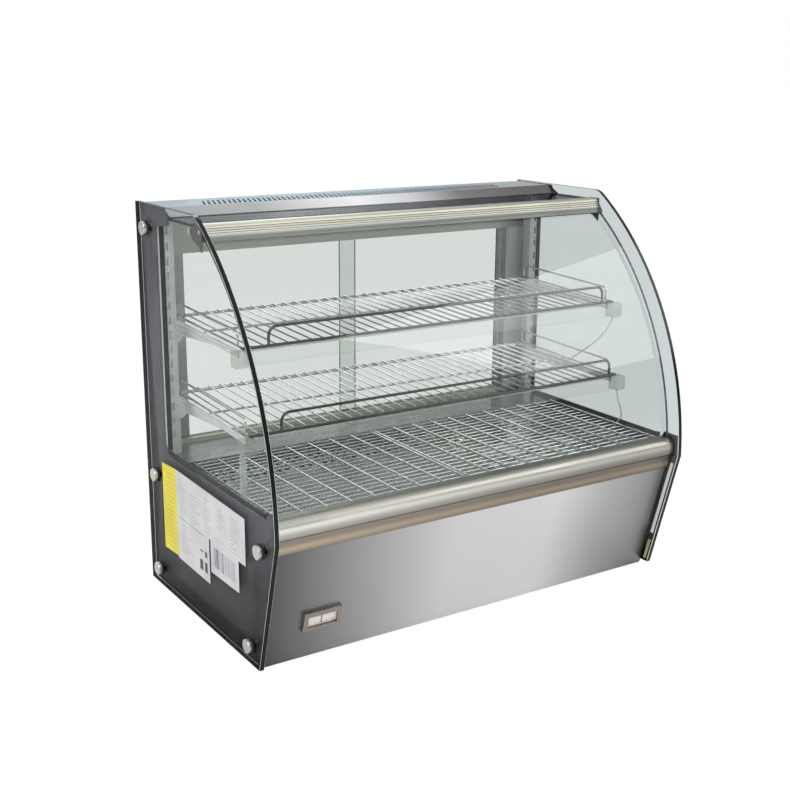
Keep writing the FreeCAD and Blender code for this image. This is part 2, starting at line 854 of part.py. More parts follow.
def sliding_door(name, depth, side, free_edge, lip):
    """A glass pane and the metal edge that its user pulls; lip says which way the pull stands out."""
    far = cell("jamb_inner") - 3.3
    pane_x = (free_edge, far) if side > 0 else (-far, free_edge)
    pane = box(name + "_pane", pane_x, (depth, depth + door_thick), (cell("door_low"), cell("door_high")))
    keep(pane, name + "_pane")
    z = (cell("track_top") + 1, cell("header_bottom") - 1)
    edge_x = (far - 23, far + 1) if side > 0 else (-far - 1, 23 - far)
    blank = box(name + "_edge_blank", edge_x, (depth - 0.9, depth + door_thick + 0.9), z)
    slot_x = (far - 30, far) if side > 0 else (-far, 30 - far)
    slot = box(name + "_edge_slot", slot_x, (depth, depth + door_thick), (z[0] - 1, z[1] + 1))
    edge = cut(name + "_edge_channel", blank, [slot])
    lip_x = (far - 20, far - 18) if side > 0 else (18 - far, 20 - far)
    lip_y = (depth + door_thick + 0.8, depth + door_thick + 8) if lip > 0 else (depth - 6, depth - 0.8)
    pull = box(name + "_edge_lip", lip_x, lip_y, z)
    keep(fuse(name + "_edge", [edge, pull]), name + "_edge")


upright("left_upright", -1)
upright("right_upright", 1)
rear_jambs()
rear_tracks()
sliding_door("left_door", outer_door, -1, cell("left_door_free_edge"), 1)
sliding_door("right_door", inner_door, 1, cell("right_door_free_edge"), -1)

# ---------------------------------------------------------------- shelves, arms and lamps

SHELF_TILT = number_of(cell("shelf_tilt"))
SHELF_HALF = number_of(cell("shelf_half"))
GUARD = number_of(cell("guard_height"))
SHELF_WIRE = 1.4
CROSS_WIRE = 2.0
FRONT_WIRE = 2.6


def wire_shelf(label, front, height, guard_ends):
    """Drawn from its front wire at (0, 0, 0) to the rear, then leaned forward a little."""
    depth = (number_of(cell("shelf_rear")) - front) / math.cos(math.radians(SHELF_TILT))
    pitch = number_of(cell("shelf_pitch"))
    count = int(2 * SHELF_HALF / pitch)
    first = -pitch * (count - 1) / 2
    cross_height = -(SHELF_WIRE + CROSS_WIRE - 0.4)
    wires = [rod((-SHELF_HALF, 0, 0), (SHELF_HALF, 0, 0), FRONT_WIRE)]
    for index in range(count):
        x = first + pitch * index
        wires.append(rod((x, 0, 0), (x, depth, 0), SHELF_WIRE))
    for y in (depth * 0.52, depth - 10, depth - 2.1):
        wires.append(rod((-SHELF_HALF - 2, y, cross_height), (SHELF_HALF + 2, y, cross_height), CROSS_WIRE))
    for side in (-1, 1):
        x = SHELF_HALF * side
        wires.append(rod((x, 0, 0), (x, depth, 0), 2.1))
        end_guard = [(x, depth - 6, 0), (x, depth - 6, 24), (x, 20, 24), (x, 20, 0)]
        wires.append(bent_rod(end_guard, 1.8, 9))
    left, right = guard_ends
    front_guard = [(left, 0, 0), (left, 0, GUARD), (right, 0, GUARD), (right, 0, 0)]
    wires.append(bent_rod(front_guard, FRONT_WIRE - 0.2, 15))
    shelf = solid_feature(label, fused(wires), (0, front, height), SHELF_TILT)
    keep(shelf, label)


def shelf_arms(label, front, height):
    """Two cantilever arms of sheet steel, screwed to the inner faces of the uprights."""
    rise = number_of(cell("shelf_rear")) - front
    lift = rise * math.tan(math.radians(SHELF_TILT))
    under = height - 5.4
    nose = front + 13
    outline = [
        (post_rear - 1, under + lift - 0.2),
        (nose, under + 0.3),
        (nose, under - 12),
        (front + 100, under - 8),
        (post_front - 26, under + lift - 26),
        (post_front - 8, under + lift - 40),
        (post_rear - 1, under + lift - 40),
    ]
    left = extruded(label + "_left", (-post_inner, -post_inner + 2), outline)
    right = extruded(label + "_right", (post_inner - 2, post_inner), outline)
    keep(join(label, [left, right]), label)


def lamp(label, front, height):
    """A strip lamp under the shelf's front: a metal channel, a clear cover and two end caps."""
    tall = number_of(cell("lamp_height"))
    deep = number_of(cell("lamp_depth"))
    half = number_of(cell("lamp_half"))
    top = height - 4.4
    low = top - tall
    near = front - 9
    far = near + deep
    channel = [
        (far, low), (far, top), (far - 8, top), (far - 8, top - 1.2),
        (far - 1.2, top - 1.2), (far - 1.2, low + 1.2), (far - 8, low + 1.2), (far - 8, low),
    ]
    cover = [
        (far - 8.2, top), (near + 4, top), (near, top - 4, 4.0), (near, low + 4), (near + 4, low, 4.0),
        (far - 8.2, low), (far - 8.2, low + 1.2), (near + 4, low + 1.2), (near + 1.2, low + 4, -2.8),
        (near + 1.2, top - 4), (near + 4, top - 1.2, -2.8), (far - 8.2, top - 1.2),
    ]
    keep(extruded(label + "_channel", (-half, half), channel), label + "_channel")
    keep(extruded(label + "_cover", (-half, half), cover), label + "_cover")
    caps = []
    end = number_of(cell("lamp_cap_end"))
    for side, x in (("left", (-end, -half - 0.05)), ("right", (half + 0.05, end))):
        caps.append(box(label + "_cap_" + side, x, (near - 1, far + 1), (low - 1, top + 1)))
    keep(join(label + "_caps", caps), label + "_caps")


UPPER_FRONT = number_of(cell("upper_shelf_front"))
UPPER_HEIGHT = number_of(cell("upper_shelf_height"))
LOWER_FRONT = number_of(cell("lower_shelf_front"))
LOWER_HEIGHT = number_of(cell("lower_shelf_height"))

wire_shelf("upper_shelf", UPPER_FRONT, UPPER_HEIGHT, (-346, 364))
wire_shelf("lower_shelf", LOWER_FRONT, LOWER_HEIGHT, (-336, 374))
shelf_arms("upper_shelf_arms", UPPER_FRONT, UPPER_HEIGHT)
shelf_arms("lower_shelf_arms", LOWER_FRONT, LOWER_HEIGHT)
lamp("upper_lamp", UPPER_FRONT, UPPER_HEIGHT)
lamp("lower_lamp", LOWER_FRONT, LOWER_HEIGHT)

# Each lamp lead leaves its end cap, and its far end goes into the upright or the deck.
UPPER_LEAD = [(398, -82, 489.1), (398, -80, 478), (400, -46, 438), (401, 8, 400), (402, 60, 366),
              (403, 108, 343), (404, 150, 333), (405, 173.7, 332)]
LOWER_LEAD = [(398, -104, 349.1), (400, -104.5, 332), (408, -107, 310), (416, -104, 290), (417, -88, 273),
              (417, -80, 261)]
LEAD_RADIUS = 1.6


def lamp_leads():
    keep(solid_feature("upper_lamp_lead", bent_rod(UPPER_LEAD, LEAD_RADIUS)), "upper_lamp_lead")
    keep(solid_feature("lower_lamp_lead", bent_rod(LOWER_LEAD, LEAD_RADIUS)), "lower_lamp_lead")
    conduit_top = LOWER_HEIGHT - 4.4 - number_of(cell("lamp_height")) - 1
    outer = box("lamp_conduit_outer", (-411, -401), (-107, -101), (deck_floor, conduit_top))
    room = box("lamp_conduit_room", (-409.8, -402.2), (-105.8, -102.2), (deck_floor - 1, conduit_top + 1))
    keep(cut("lamp_conduit", outer, [room]), "lamp_conduit")


lamp_leads()

# ---------------------------------------------------------------- deck grids


def deck_grid(label, left, right):
    """A loose wire grid: close wires across, a few strong wires on top, and legs to the floor."""
    radius = number_of(cell("grid_wire_radius"))
    front = number_of(cell("grid_front"))
    rear = number_of(cell("ledge_front")) - 4
    low = number_of(deck_top) - 4.2
    high = low + 2 * radius - 0.4
    floor = number_of(deck_floor)
    wires = []
    rows = int((rear - front) / number_of(cell("grid_pitch"))) + 1
    step = (rear - front) / (rows - 1)
    for index in range(rows):
        y = front + step * index
        wires.append(rod((left, y, low), (right, y, low), radius))
    columns = max(2, round((right - left) / number_of(cell("grid_long_pitch"))) + 1)
    step = (right - left - 4) / (columns - 1)
    for index in range(columns):
        x = left + 2 + step * index
        wires.append(rod((x, front - 1.5, high), (x, rear + 1.5, high), radius))
    for x in (left + 14, right - 14):
        for y in (front, rear):
            wires.append(rod((x, y, floor), (x, y, low), radius))
    keep(solid_feature(label, fused(wires)), label)


CONDUIT_ROOM = 14
grid_half = number_of(cell("grid_half"))
joint = number_of(cell("grid_joint"))
deck_grid("left_deck_grid", -grid_half + CONDUIT_ROOM, joint - 2)
deck_grid("right_deck_grid", joint + 2, grid_half)

# ---------------------------------------------------------------- heater, fan and controls

FAN_X = -150.0
FAN_HEIGHT = 128.0
FAN_FACE = 92.0
FAN_DEPTH = 38.0
FAN_SIDE = 120.0
FAN_BORE = 57.0
HUB_RADIUS = 19.0
SHAFT_RADIUS = 3.0


def blower():
    """An axial fan: a square frame with a motor held by three arms, and a rotor of seven blades."""
    corner = FreeCAD.Vector(FAN_X - FAN_SIDE / 2, FAN_FACE, FAN_HEIGHT - FAN_SIDE / 2)
    frame = Part.makeBox(FAN_SIDE, FAN_DEPTH, FAN_SIDE, corner)
    along = FreeCAD.Vector(0, 1, 0)
    centre = FreeCAD.Vector(FAN_X, FAN_FACE - 1, FAN_HEIGHT)
    frame = frame.cut(Part.makeCylinder(FAN_BORE, FAN_DEPTH + 2, centre, along))
    motor_face = FAN_FACE + FAN_DEPTH - 12
    motor = Part.makeCylinder(HUB_RADIUS + 2, 12, FreeCAD.Vector(FAN_X, motor_face, FAN_HEIGHT), along)
    pieces = [frame, motor]
    for index in range(3):
        arm = Part.makeBox(8, 5, FAN_BORE + 1, FreeCAD.Vector(-4, motor_face + 6, 5))
        arm.rotate(FreeCAD.Vector(0, 0, 0), along, 120 * index)
        arm.translate(FreeCAD.Vector(FAN_X, 0, FAN_HEIGHT))
        pieces.append(arm)
    mount = Part.makeBox(FAN_SIDE + 20, 2, FAN_HEIGHT - FAN_SIDE / 2 - number_of(base_bottom) - 1.2)
    mount.translate(FreeCAD.Vector(FAN_X - FAN_SIDE / 2 - 10, FAN_FACE, number_of(base_bottom) + 1.2))
    pieces.append(mount)
    bore = Part.makeCylinder(SHAFT_RADIUS + 0.05, 9, FreeCAD.Vector(FAN_X, motor_face - 1, FAN_HEIGHT), along)
    keep(solid_feature("blower_frame", fused(pieces).cut(bore)), "blower_frame")

    hub = Part.makeCylinder(HUB_RADIUS, 16, FreeCAD.Vector(0, FAN_FACE + 5, 0), along)
    shaft = Part.makeCylinder(SHAFT_RADIUS, 12, FreeCAD.Vector(0, FAN_FACE + 20.9, 0), along)
    blades = [hub, shaft]
    for index in range(7):
        blade = Part.makeBox(2, 22, 36, FreeCAD.Vector(-1, -11, HUB_RADIUS - 2))
        blade.rotate(FreeCAD.Vector(0, 0, 0), FreeCAD.Vector(0, 0, 1), 42)
        blade.translate(FreeCAD.Vector(0, FAN_FACE + 13, 0))
        blade.rotate(FreeCAD.Vector(0, 0, 0), along, 360.0 / 7 * index)
        blades.append(blade)
    keep(solid_feature("blower_rotor", fused(blades), (FAN_X, 0, FAN_HEIGHT)), "blower_rotor")


def heater():
    """A tubular element that goes to and fro in front of the blower, on two stays."""
    points = []
    for index in range(4):
        z = 90 + 24 * index
        ends = (FAN_X - 70, FAN_X + 70)
        if index % 2:
            ends = ends[::-1]
        points += [(ends[0], 60, z), (ends[1], 60, z)]
    points = [(FAN_X - 110, 60, 90)] + points[1:-1] + [(FAN_X - 110, 60, 162)]
    keep(solid_feature("heater_element", bent_rod(points, 4, 11.5)), "heater_element")


CONTROL_HEIGHT = 120.0
KNOB_X = 268.0
POWER_X = 132.0
LAMP_SWITCH_X = 180.0
GLAND_X = -350.0
GLAND_HEIGHT = 58.0
SWITCH_WIDE = 20.0
SWITCH_TALL = 28.0
PANEL_REAR = number_of(base_rear)


def rear_panel():
    """The rear sheet of the base, with its openings for the controls, the lead and the air."""
    top = deck_floor - sheet_thick
    panel = box("rear_panel_blank", (-base_half, base_half), (base_rear - sheet_thick + 0.01, base_rear),
                (base_bottom, top))
    holes = []
    for x in (POWER_X, LAMP_SWITCH_X):
        corner = FreeCAD.Vector(x - SWITCH_WIDE / 2, PANEL_REAR - 5, CONTROL_HEIGHT - SWITCH_TALL / 2)
        holes.append(Part.makeBox(SWITCH_WIDE, 10, SWITCH_TALL, corner))
    along = FreeCAD.Vector(0, 1, 0)
    holes.append(Part.makeCylinder(5, 10, FreeCAD.Vector(KNOB_X, PANEL_REAR - 5, CONTROL_HEIGHT), along))
    holes.append(Part.makeCylinder(8, 10, FreeCAD.Vector(GLAND_X, PANEL_REAR - 5, GLAND_HEIGHT), along))
    for row in range(7):
        for column in range(2):
            corner = FreeCAD.Vector(-214 + 66 * column, PANEL_REAR - 5, 92 + 11 * row)
            holes.append(Part.makeBox(56, 10, 4, corner))
    tool = solid_feature("rear_panel_holes", Part.makeCompound(holes))
    keep(cut("rear_panel", panel, [tool]), "rear_panel")


def switches():
    """Two rocker switches. A rocker rests with its lower half pressed and tips the other way."""
    frames = []
    for name, x in (("power", POWER_X), ("lamp", LAMP_SWITCH_X)):
        flange = Part.makeBox(SWITCH_WIDE + 4, 2, SWITCH_TALL + 4,
                              FreeCAD.Vector(x - SWITCH_WIDE / 2 - 2, PANEL_REAR, CONTROL_HEIGHT - SWITCH_TALL / 2 - 2))
        shell = Part.makeBox(SWITCH_WIDE - 0.6, 22, SWITCH_TALL - 0.6,
                             FreeCAD.Vector(x - SWITCH_WIDE / 2 + 0.3, PANEL_REAR - 21,
                                            CONTROL_HEIGHT - SWITCH_TALL / 2 + 0.3))
        room = Part.makeBox(SWITCH_WIDE - 4, 16, SWITCH_TALL - 4,
                            FreeCAD.Vector(x - SWITCH_WIDE / 2 + 2, PANEL_REAR - 12, CONTROL_HEIGHT - SWITCH_TALL / 2 + 2))
        frames.append(flange.fuse(shell).cut(room))
        half = SWITCH_TALL / 2 - 3.2
        wide = SWITCH_WIDE - 5
        outline = [(-6, -5), (-6, 5), (1.0, half), (4.2, half), (1.6, 0), (4.2, -half), (1.0, -half)]
        profile = [FreeCAD.Vector(-wide / 2, y, z) for y, z in outline]
        face = Part.Face(Part.makePolygon(profile + profile[:1]))
        rocker = face.extrude(FreeCAD.Vector(wide, 0, 0))
        keep(solid_feature(name + "_rocker", rocker, (x, PANEL_REAR, CONTROL_HEIGHT), 8.0), name + "_rocker")
    keep(solid_feature("switch_frames", Part.makeCompound(frames)), "switch_frames")


def thermostat():
    along = FreeCAD.Vector(0, 1, 0)
    body = Part.makeBox(44, 26, 36, FreeCAD.Vector(KNOB_X - 22, PANEL_REAR - 27.4, CONTROL_HEIGHT - 18))
    sleeve = Part.makeCylinder(4.9, 3, FreeCAD.Vector(KNOB_X, PANEL_REAR - 1.5, CONTROL_HEIGHT), along)
    bore = Part.makeCylinder(3.05, 12, FreeCAD.Vector(KNOB_X, PANEL_REAR - 10, CONTROL_HEIGHT), along)
    keep(solid_feature("thermostat_body", body.fuse(sleeve).cut(bore)), "thermostat_body")
    skirt = Part.makeCylinder(19, 3, FreeCAD.Vector(0, 1.8, 0), along)
    grip = Part.makeCylinder(15, 12, FreeCAD.Vector(0, 4.8, 0), along)
    grip = grip.makeFillet(1.5, [e for e in grip.Edges if e.BoundBox.YMin > 16.7])
    flutes = []
    for index in range(12):
        flute = Part.makeCylinder(2.2, 14, FreeCAD.Vector(0, 5.2, 16.4), along)
        flute.rotate(FreeCAD.Vector(0, 0, 0), along, 30 * index + 15)
        flutes.append(flute)
    shaft = Part.makeCylinder(3.0, 11, FreeCAD.Vector(0, -9, 0), along)
    knob = fused([skirt, grip.cut(Part.makeCompound(flutes)), shaft])
    keep(solid_feature("thermostat_knob", knob, (KNOB_X, PANEL_REAR, CONTROL_HEIGHT)), "thermostat_knob")


def cable_gland():
    """The gland that the mains cord goes through: a hexagon outside and a nut inside."""
    along = FreeCAD.Vector(0, 1, 0)
    base = FreeCAD.Vector(GLAND_X, PANEL_REAR - 10, GLAND_HEIGHT)
    barrel = Part.makeCylinder(7.8, 26, base, along)
    nut = Part.makeCylinder(12, 5, FreeCAD.Vector(GLAND_X, PANEL_REAR - 6.3, GLAND_HEIGHT), along)
    corners = []
    for index in range(7):
        angle = math.radians(60 * index)
        corners.append(FreeCAD.Vector(GLAND_X + 12 * math.cos(angle), PANEL_REAR, GLAND_HEIGHT + 12 * math.sin(angle)))
    collar = Part.Face(Part.makePolygon(corners)).extrude(FreeCAD.Vector(0, 8, 0))
    bore = Part.makeCylinder(4.5, 40, base - FreeCAD.Vector(0, 2, 0), along)
    keep(solid_feature("cable_gland", fused([barrel, nut, collar]).cut(bore)), "cable_gland")


blower()
heater()
rear_panel()
switches()
thermostat()
cable_gland()

# ---------------------------------------------------------------- stickers on the left glass


def side_stickers():
    """Three plain stickers: an energy strip, a data sheet and a small one below it."""
    thick = 0.2
    x = -number_of(cell("glass_outer_half")) - thick
    outlines = [
        [(184, 99), (184, 261), (123.2, 265), (123.2, 102)],
        [(123, 99), (123, 265), (-151, 261), (-151, 180), (-11, 180), (-11, 97)],
        [(-17, 122), (-17, 179.8), (-125, 179.8), (-125, 124)],
    ]
    stickers = []
    for outline in outlines:
        corners = [FreeCAD.Vector(x, y, z) for y, z in outline]
        stickers.append(Part.Face(Part.makePolygon(corners + corners[:1])).extrude(FreeCAD.Vector(thick, 0, 0)))
    keep(solid_feature("side_stickers", Part.makeCompound(stickers)), "side_stickers")


side_stickers()

# ---------------------------------------------------------------- check and write

doc.recompute()
for item in doc.Objects:
    if "Invalid" in item.State or "Error" in item.State:
        raise RuntimeError("%s did not compute: %s" % (item.Name, item.State))

if len(exported) > 60:
    raise RuntimeError("%d sub-parts, and parts/ holds at most 60" % len(exported))
os.makedirs("parts", exist_ok=True)
for item in exported:
    shape = item.Shape
    if shape.isNull() or not shape.isValid() or not shape.Solids:
        raise RuntimeError(item.Label + " is not a valid solid")
for item in exported:
    item.Shape.exportStep("parts/%s.step" % item.Label)
print("%d sub-parts" % len(exported))
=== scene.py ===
import math
import random

import bmesh
import bpy
from mathutils import Matrix, Vector


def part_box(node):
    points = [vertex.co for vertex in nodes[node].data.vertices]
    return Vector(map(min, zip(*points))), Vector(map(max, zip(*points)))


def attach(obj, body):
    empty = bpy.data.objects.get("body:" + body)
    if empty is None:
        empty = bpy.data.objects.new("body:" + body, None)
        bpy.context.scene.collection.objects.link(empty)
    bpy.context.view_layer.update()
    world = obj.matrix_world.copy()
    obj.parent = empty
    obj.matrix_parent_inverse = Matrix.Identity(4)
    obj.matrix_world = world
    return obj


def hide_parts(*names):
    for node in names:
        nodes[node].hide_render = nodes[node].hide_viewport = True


# Looks of the hot food display case: materials, the finer pieces, light and camera.
# Lengths are in metres, in the CAD's frame: X across the width, -Y the customer's side, +Z up.

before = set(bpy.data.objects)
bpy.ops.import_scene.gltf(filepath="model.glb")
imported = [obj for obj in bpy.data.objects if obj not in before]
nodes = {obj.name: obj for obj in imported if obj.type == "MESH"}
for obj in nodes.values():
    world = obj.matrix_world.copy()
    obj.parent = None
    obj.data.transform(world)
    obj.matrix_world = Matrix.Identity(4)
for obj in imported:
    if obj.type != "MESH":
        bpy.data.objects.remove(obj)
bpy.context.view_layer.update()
MM = 0.001


def srgb(red, green, blue, alpha=1.0):
    """Turns screen values from 0 to 255 into a linear colour."""
    parts = []
    for value in (red, green, blue):
        share = value / 255
        parts.append(share / 12.92 if share <= 0.04045 else ((share + 0.055) / 1.055) ** 2.4)
    return (*parts, alpha)


# ---------------------------------------------------------------- materials


class Maker:
    """The node tree of a material or of the world. add() makes a node, sets its inputs and returns it."""

    def __init__(self, owner, output="ShaderNodeOutputMaterial"):
        self.owner = owner
        owner.use_nodes = True
        self.tree = owner.node_tree
        self.tree.nodes.clear()
        self.output = self.tree.nodes.new(output)
        self.place = self.add("ShaderNodeTexCoord")

    @classmethod
    def material(cls, name):
        return cls(bpy.data.materials.new(name))

    def add(self, kind, **inputs):
        node = self.tree.nodes.new(kind)
        for key, value in inputs.items():
            self.feed(node.inputs[key.replace("_", " ")], value)
        return node

    def feed(self, socket, value):
        if isinstance(value, bpy.types.NodeSocket):
            self.tree.links.new(value, socket)
        else:
            socket.default_value = value

    def maths(self, operation, *values):
        node = self.tree.nodes.new("ShaderNodeMath")
        node.operation = operation
        for socket, value in zip(node.inputs, values):
            self.feed(socket, value)
        return node.outputs[0]

    def mix(self, share, first, second, blend="MIX"):
        """Mixes two colours."""
        node = self.tree.nodes.new("ShaderNodeMix")
        node.data_type = "RGBA"
        node.blend_type = blend
        self.feed(node.inputs["Factor"], share)
        self.feed(node.inputs["A"], first)
        self.feed(node.inputs["B"], second)
        return node.outputs["Result"]

    def noise(self, scale, stretch=(1, 1, 1), detail=3.0, rough=0.5):
        """Noise in the object's own coordinates, with features 1 / (scale * stretch) metres long."""
        mapping = self.add("ShaderNodeMapping", Vector=self.place.outputs["Object"], Scale=stretch)
        node = self.add("ShaderNodeTexNoise", Vector=mapping.outputs[0], Scale=scale, Detail=detail,
                        Roughness=rough)
        return node.outputs["Fac"]

    def span(self, value, low, high, from_low=0.0, from_high=1.0):
        """Maps from_low..from_high to low..high, and clamps."""
        node = self.tree.nodes.new("ShaderNodeMapRange")
        for index, number in enumerate((value, from_low, from_high, low, high)):
            self.feed(node.inputs[index], number)
        return node.outputs[0]

    def ramp(self, value, stops):
        node = self.tree.nodes.new("ShaderNodeValToRGB")
        self.feed(node.inputs[0], value)
        band = node.color_ramp
        while len(band.elements) < len(stops):
            band.elements.new(0.5)
        for element, (position, colour) in zip(band.elements, stops):
            element.position = position
            element.color = colour
        return node.outputs[0]

    def split(self, vector):
        return self.add("ShaderNodeSeparateXYZ", Vector=vector).outputs

    def bump(self, height, strength, distance):
        return self.add("ShaderNodeBump", Height=height, Strength=strength, Distance=distance).outputs[0]

    def blend(self, share, first, second):
        """Mixes two shaders."""
        node = self.add("ShaderNodeMixShader")
        for socket, value in zip(node.inputs, (share, first, second)):
            self.feed(socket, value)
        return node.outputs[0]

    def near_side(self):
        """1 on the front of a face and 0 on its back, so a thin pane mirrors only once."""
        return self.maths("SUBTRACT", 1.0, self.add("ShaderNodeNewGeometry").outputs["Backfacing"])

    def finish(self, shader):
        self.tree.links.new(shader, self.output.inputs["Surface"])
        return self.owner


def shaded(maker, **inputs):
    """A Principled shader as the material's surface."""
    node = maker.add("ShaderNodeBsdfPrincipled", **inputs)
    return maker.finish(node.outputs[0])


def plain(red, green=None, blue=None):
    """A colour from linear values, one or three of them."""
    return (red, red if green is None else green, red if blue is None else blue, 1)


def dimmed(colour, factor):
    """A linear colour, darker by a factor."""
    return tuple(value * factor for value in colour[:3]) + (1,)


def brushed_steel(name, colour, rough, grain, dirt=0.06, metal=1.0, long=6.0):
    """Brushed sheet: fine scratches along the grain axis, and soft smudges. The colour may be a function."""
    maker = Maker.material(name)
    fine = 900.0
    stretch = tuple(long if axis == grain else fine for axis in "xyz")
    scratches = maker.noise(1.0, stretch, detail=4.0, rough=0.7)
    smudges = maker.noise(7.0, detail=3.0)
    base = colour(maker) if callable(colour) else colour
    dark = maker.mix(1.0, base, plain(1 - dirt * 2.2), "MULTIPLY")
    tone = maker.mix(maker.span(scratches, 0.0, 1.0, 0.3, 0.7), dark, base)
    roughness = maker.maths("ADD", maker.span(scratches, rough - 0.06, rough + 0.08, 0.3, 0.7),
                            maker.span(smudges, -0.03, 0.05, 0.35, 0.65))
    normal = maker.bump(scratches, 0.25, 0.00006)
    return shaded(maker, Base_Color=tone, Metallic=metal, Roughness=roughness, Normal=normal)


def bright_metal(name, colour, rough=0.12, patch=40.0, wave=0.0):
    """Plated or polished metal with slight unevenness."""
    maker = Maker.material(name)
    cloud = maker.noise(patch, detail=4.0)
    tone = maker.mix(maker.span(cloud, 0.0, 0.5, 0.45, 0.75), colour, dimmed(colour, 0.72))
    inputs = {"Base_Color": tone, "Metallic": 1.0,
              "Roughness": maker.span(cloud, rough, rough + 0.1, 0.4, 0.7)}
    if wave:
        inputs["Normal"] = maker.bump(maker.noise(14.0, detail=2.0), wave, 0.004)
    return shaded(maker, **inputs)


def moulded(name, colour, rough=0.45, grain=900.0, depth=0.00008, coat=0.0):
    """Moulded plastic, rubber, card or ink: fine texture and slight colour change."""
    maker = Maker.material(name)
    fine = maker.noise(grain, detail=2.0)
    wide = maker.noise(18.0, detail=3.0)
    lighter = tuple(min(1.0, c * 1.25 + 0.004) for c in colour[:3]) + (1,)
    tone = maker.mix(maker.span(wide, 0.0, 0.7, 0.35, 0.7), colour, lighter)
    inputs = {"Base_Color": tone, "Roughness": maker.span(fine, rough - 0.05, rough + 0.08, 0.3, 0.7),
              "Normal": maker.bump(fine, 0.35, depth)}
    if coat:
        inputs["Coat_Weight"] = coat
        inputs["Coat_Roughness"] = 0.08
    return shaded(maker, **inputs)


def pane(name, clear, edge, faces, mirror_share=1.0):
    """Thin clear glass: it tints what is behind it and mirrors more at a slant. Its cut edges are darker.

    faces says where the cut edges are: off the "x" or "y" faces, or at the ends in X of any other pane.
    """
    maker = Maker.material(name)
    fresnel = maker.add("ShaderNodeFresnel", IOR=1.5).outputs[0]
    wear = maker.noise(30.0, detail=4.0)
    film = maker.span(wear, 0.0, 0.012, 0.45, 0.8)
    through = maker.add("ShaderNodeBsdfTransparent", Color=clear).outputs[0]
    mirror = maker.add("ShaderNodeBsdfGlossy", Color=(0.95, 0.97, 0.97, 1), Roughness=0.015).outputs[0]
    gloss = maker.maths("ADD", maker.maths("MULTIPLY", fresnel, mirror_share), film)
    faced = maker.blend(maker.maths("MULTIPLY", gloss, maker.near_side()), through, mirror)
    ripple = maker.noise(90.0, detail=2.0)
    cut = maker.add("ShaderNodeBsdfPrincipled", Base_Color=maker.mix(ripple, edge[0], edge[1]),
                    Roughness=0.16, Specular_IOR_Level=0.2).outputs[0]
    normal = maker.split(maker.place.outputs["Normal"])
    along = maker.maths("ABSOLUTE", normal[0])
    if faces == "x":
        on_edge = maker.maths("LESS_THAN", along, 0.9)
    else:
        on_edge = maker.maths("GREATER_THAN", along, 0.5)
    if faces == "y":
        off_face = maker.maths("LESS_THAN", maker.maths("ABSOLUTE", normal[1]), 0.3)
        on_edge = maker.maths("MAXIMUM", on_edge, off_face)
    return maker.finish(maker.blend(on_edge, faced, cut))


def across(maker, low, high, stops):
    """A colour that changes along X, from low to high in metres."""
    x = maker.split(maker.place.outputs["Object"])[0]
    return maker.ramp(maker.span(x, 0.0, 1.0, low, high), stops)


def upward(maker, low, high, stops):
    """A colour that changes with height, from low to high in metres."""
    z = maker.split(maker.place.outputs["Object"])[2]
    return maker.ramp(maker.span(z, 0.0, 1.0, low, high), stops)


def scaled(stops, factor):
    """The same stops, brighter by a factor."""
    return [(position, tuple(min(1.0, value * factor) for value in colour[:3]) + (1,))
            for position, colour in stops]


def ribbed(stops):
    """Adds painted shade: thin dark lines in the grooves between the rail's ribs."""
    lined = list(stops)
    for centre in (0.512, 0.635, 0.758):
        low = max(stop for stop in stops if stop[0] <= centre)[1]
        dark = dimmed(low, 0.58)
        lined = [stop for stop in lined if abs(stop[0] - centre) > 0.025]
        lined += [(centre - 0.024, low), (centre - 0.012, dark),
                  (centre + 0.012, dark), (centre + 0.024, low)]
    return sorted(lined)


def painted_light_falloff(maker, tone, middle, right):
    """Painted light falloff: dims a colour from the left end to the middle and the right end, as the light in
    front of the case falls off.
    """
    stops = [(0.0, plain(1)), (0.14, plain(1)), (0.5, plain(middle)), (0.86, plain(right))]
    return maker.mix(1.0, tone, across(maker, -HALF_CASE, HALF_CASE, stops), "MULTIPLY")


# Soft changes of tone that stand in for what the long steel and aluminium faces mirror in a room.
HALF_CASE = 0.42
APRON_TONES = [(0.0, plain(0.12)), (0.22, plain(0.42)), (0.42, plain(0.71)), (0.68, plain(0.76)),
               (0.84, plain(0.44)), (1.0, plain(0.25, 0.25, 0.248))]
SILL_TONES = [(0.0, srgb(112, 102, 90)), (0.17, srgb(150, 137, 120)), (0.27, srgb(128, 118, 106)),
              (0.4, srgb(118, 111, 102)), (0.455, srgb(134, 128, 120)), (0.47, srgb(96, 92, 86)),
              (0.5, srgb(130, 126, 120)), (0.62, srgb(144, 141, 136)), (0.8, srgb(196, 195, 188)),
              (0.9, srgb(134, 133, 125)), (1.0, srgb(134, 133, 125))]
RAIL_TONES = [(0.0, srgb(104, 108, 104)), (0.3, srgb(116, 120, 116)), (0.36, srgb(150, 152, 145)),
              (0.47, srgb(180, 182, 172)), (0.6, srgb(176, 175, 160)), (0.8, srgb(188, 187, 172)),
              (0.9, srgb(166, 166, 154)), (1.0, srgb(190, 190, 180))]
COVER_TONES = [(0.0, srgb(138, 141, 143)), (0.2, srgb(154, 157, 158)), (0.45, srgb(238, 238, 240)),
               (0.58, srgb(214, 214, 216)), (0.72, srgb(128, 124, 124)), (0.88, srgb(104, 100, 100)),
               (1.0, srgb(96, 92, 92))]
FLAT_TONES = [(0.0, srgb(124, 141, 151)), (0.5, srgb(130, 150, 162)), (0.8, srgb(170, 184, 191)),
              (1.0, srgb(190, 198, 202))]


# Painted reflection along the apron: dark at both ends and bright in the middle, fixed along X.
def apron_tone(maker):
    return across(maker, -HALF_CASE - MM, HALF_CASE + MM, APRON_TONES)


def sill_tone(maker):
    """A painted highlight on the bullnose, tan on the hollow band and painted shade in the groove between
    them, with painted reflection along the length, dimmer towards the right.
    """
    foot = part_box("front_apron")[1][2]
    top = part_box("base_sill")[1][2]
    return painted_light_falloff(maker, upward(maker, foot, top, scaled(SILL_TONES, 1.75)), 0.76, 0.58)
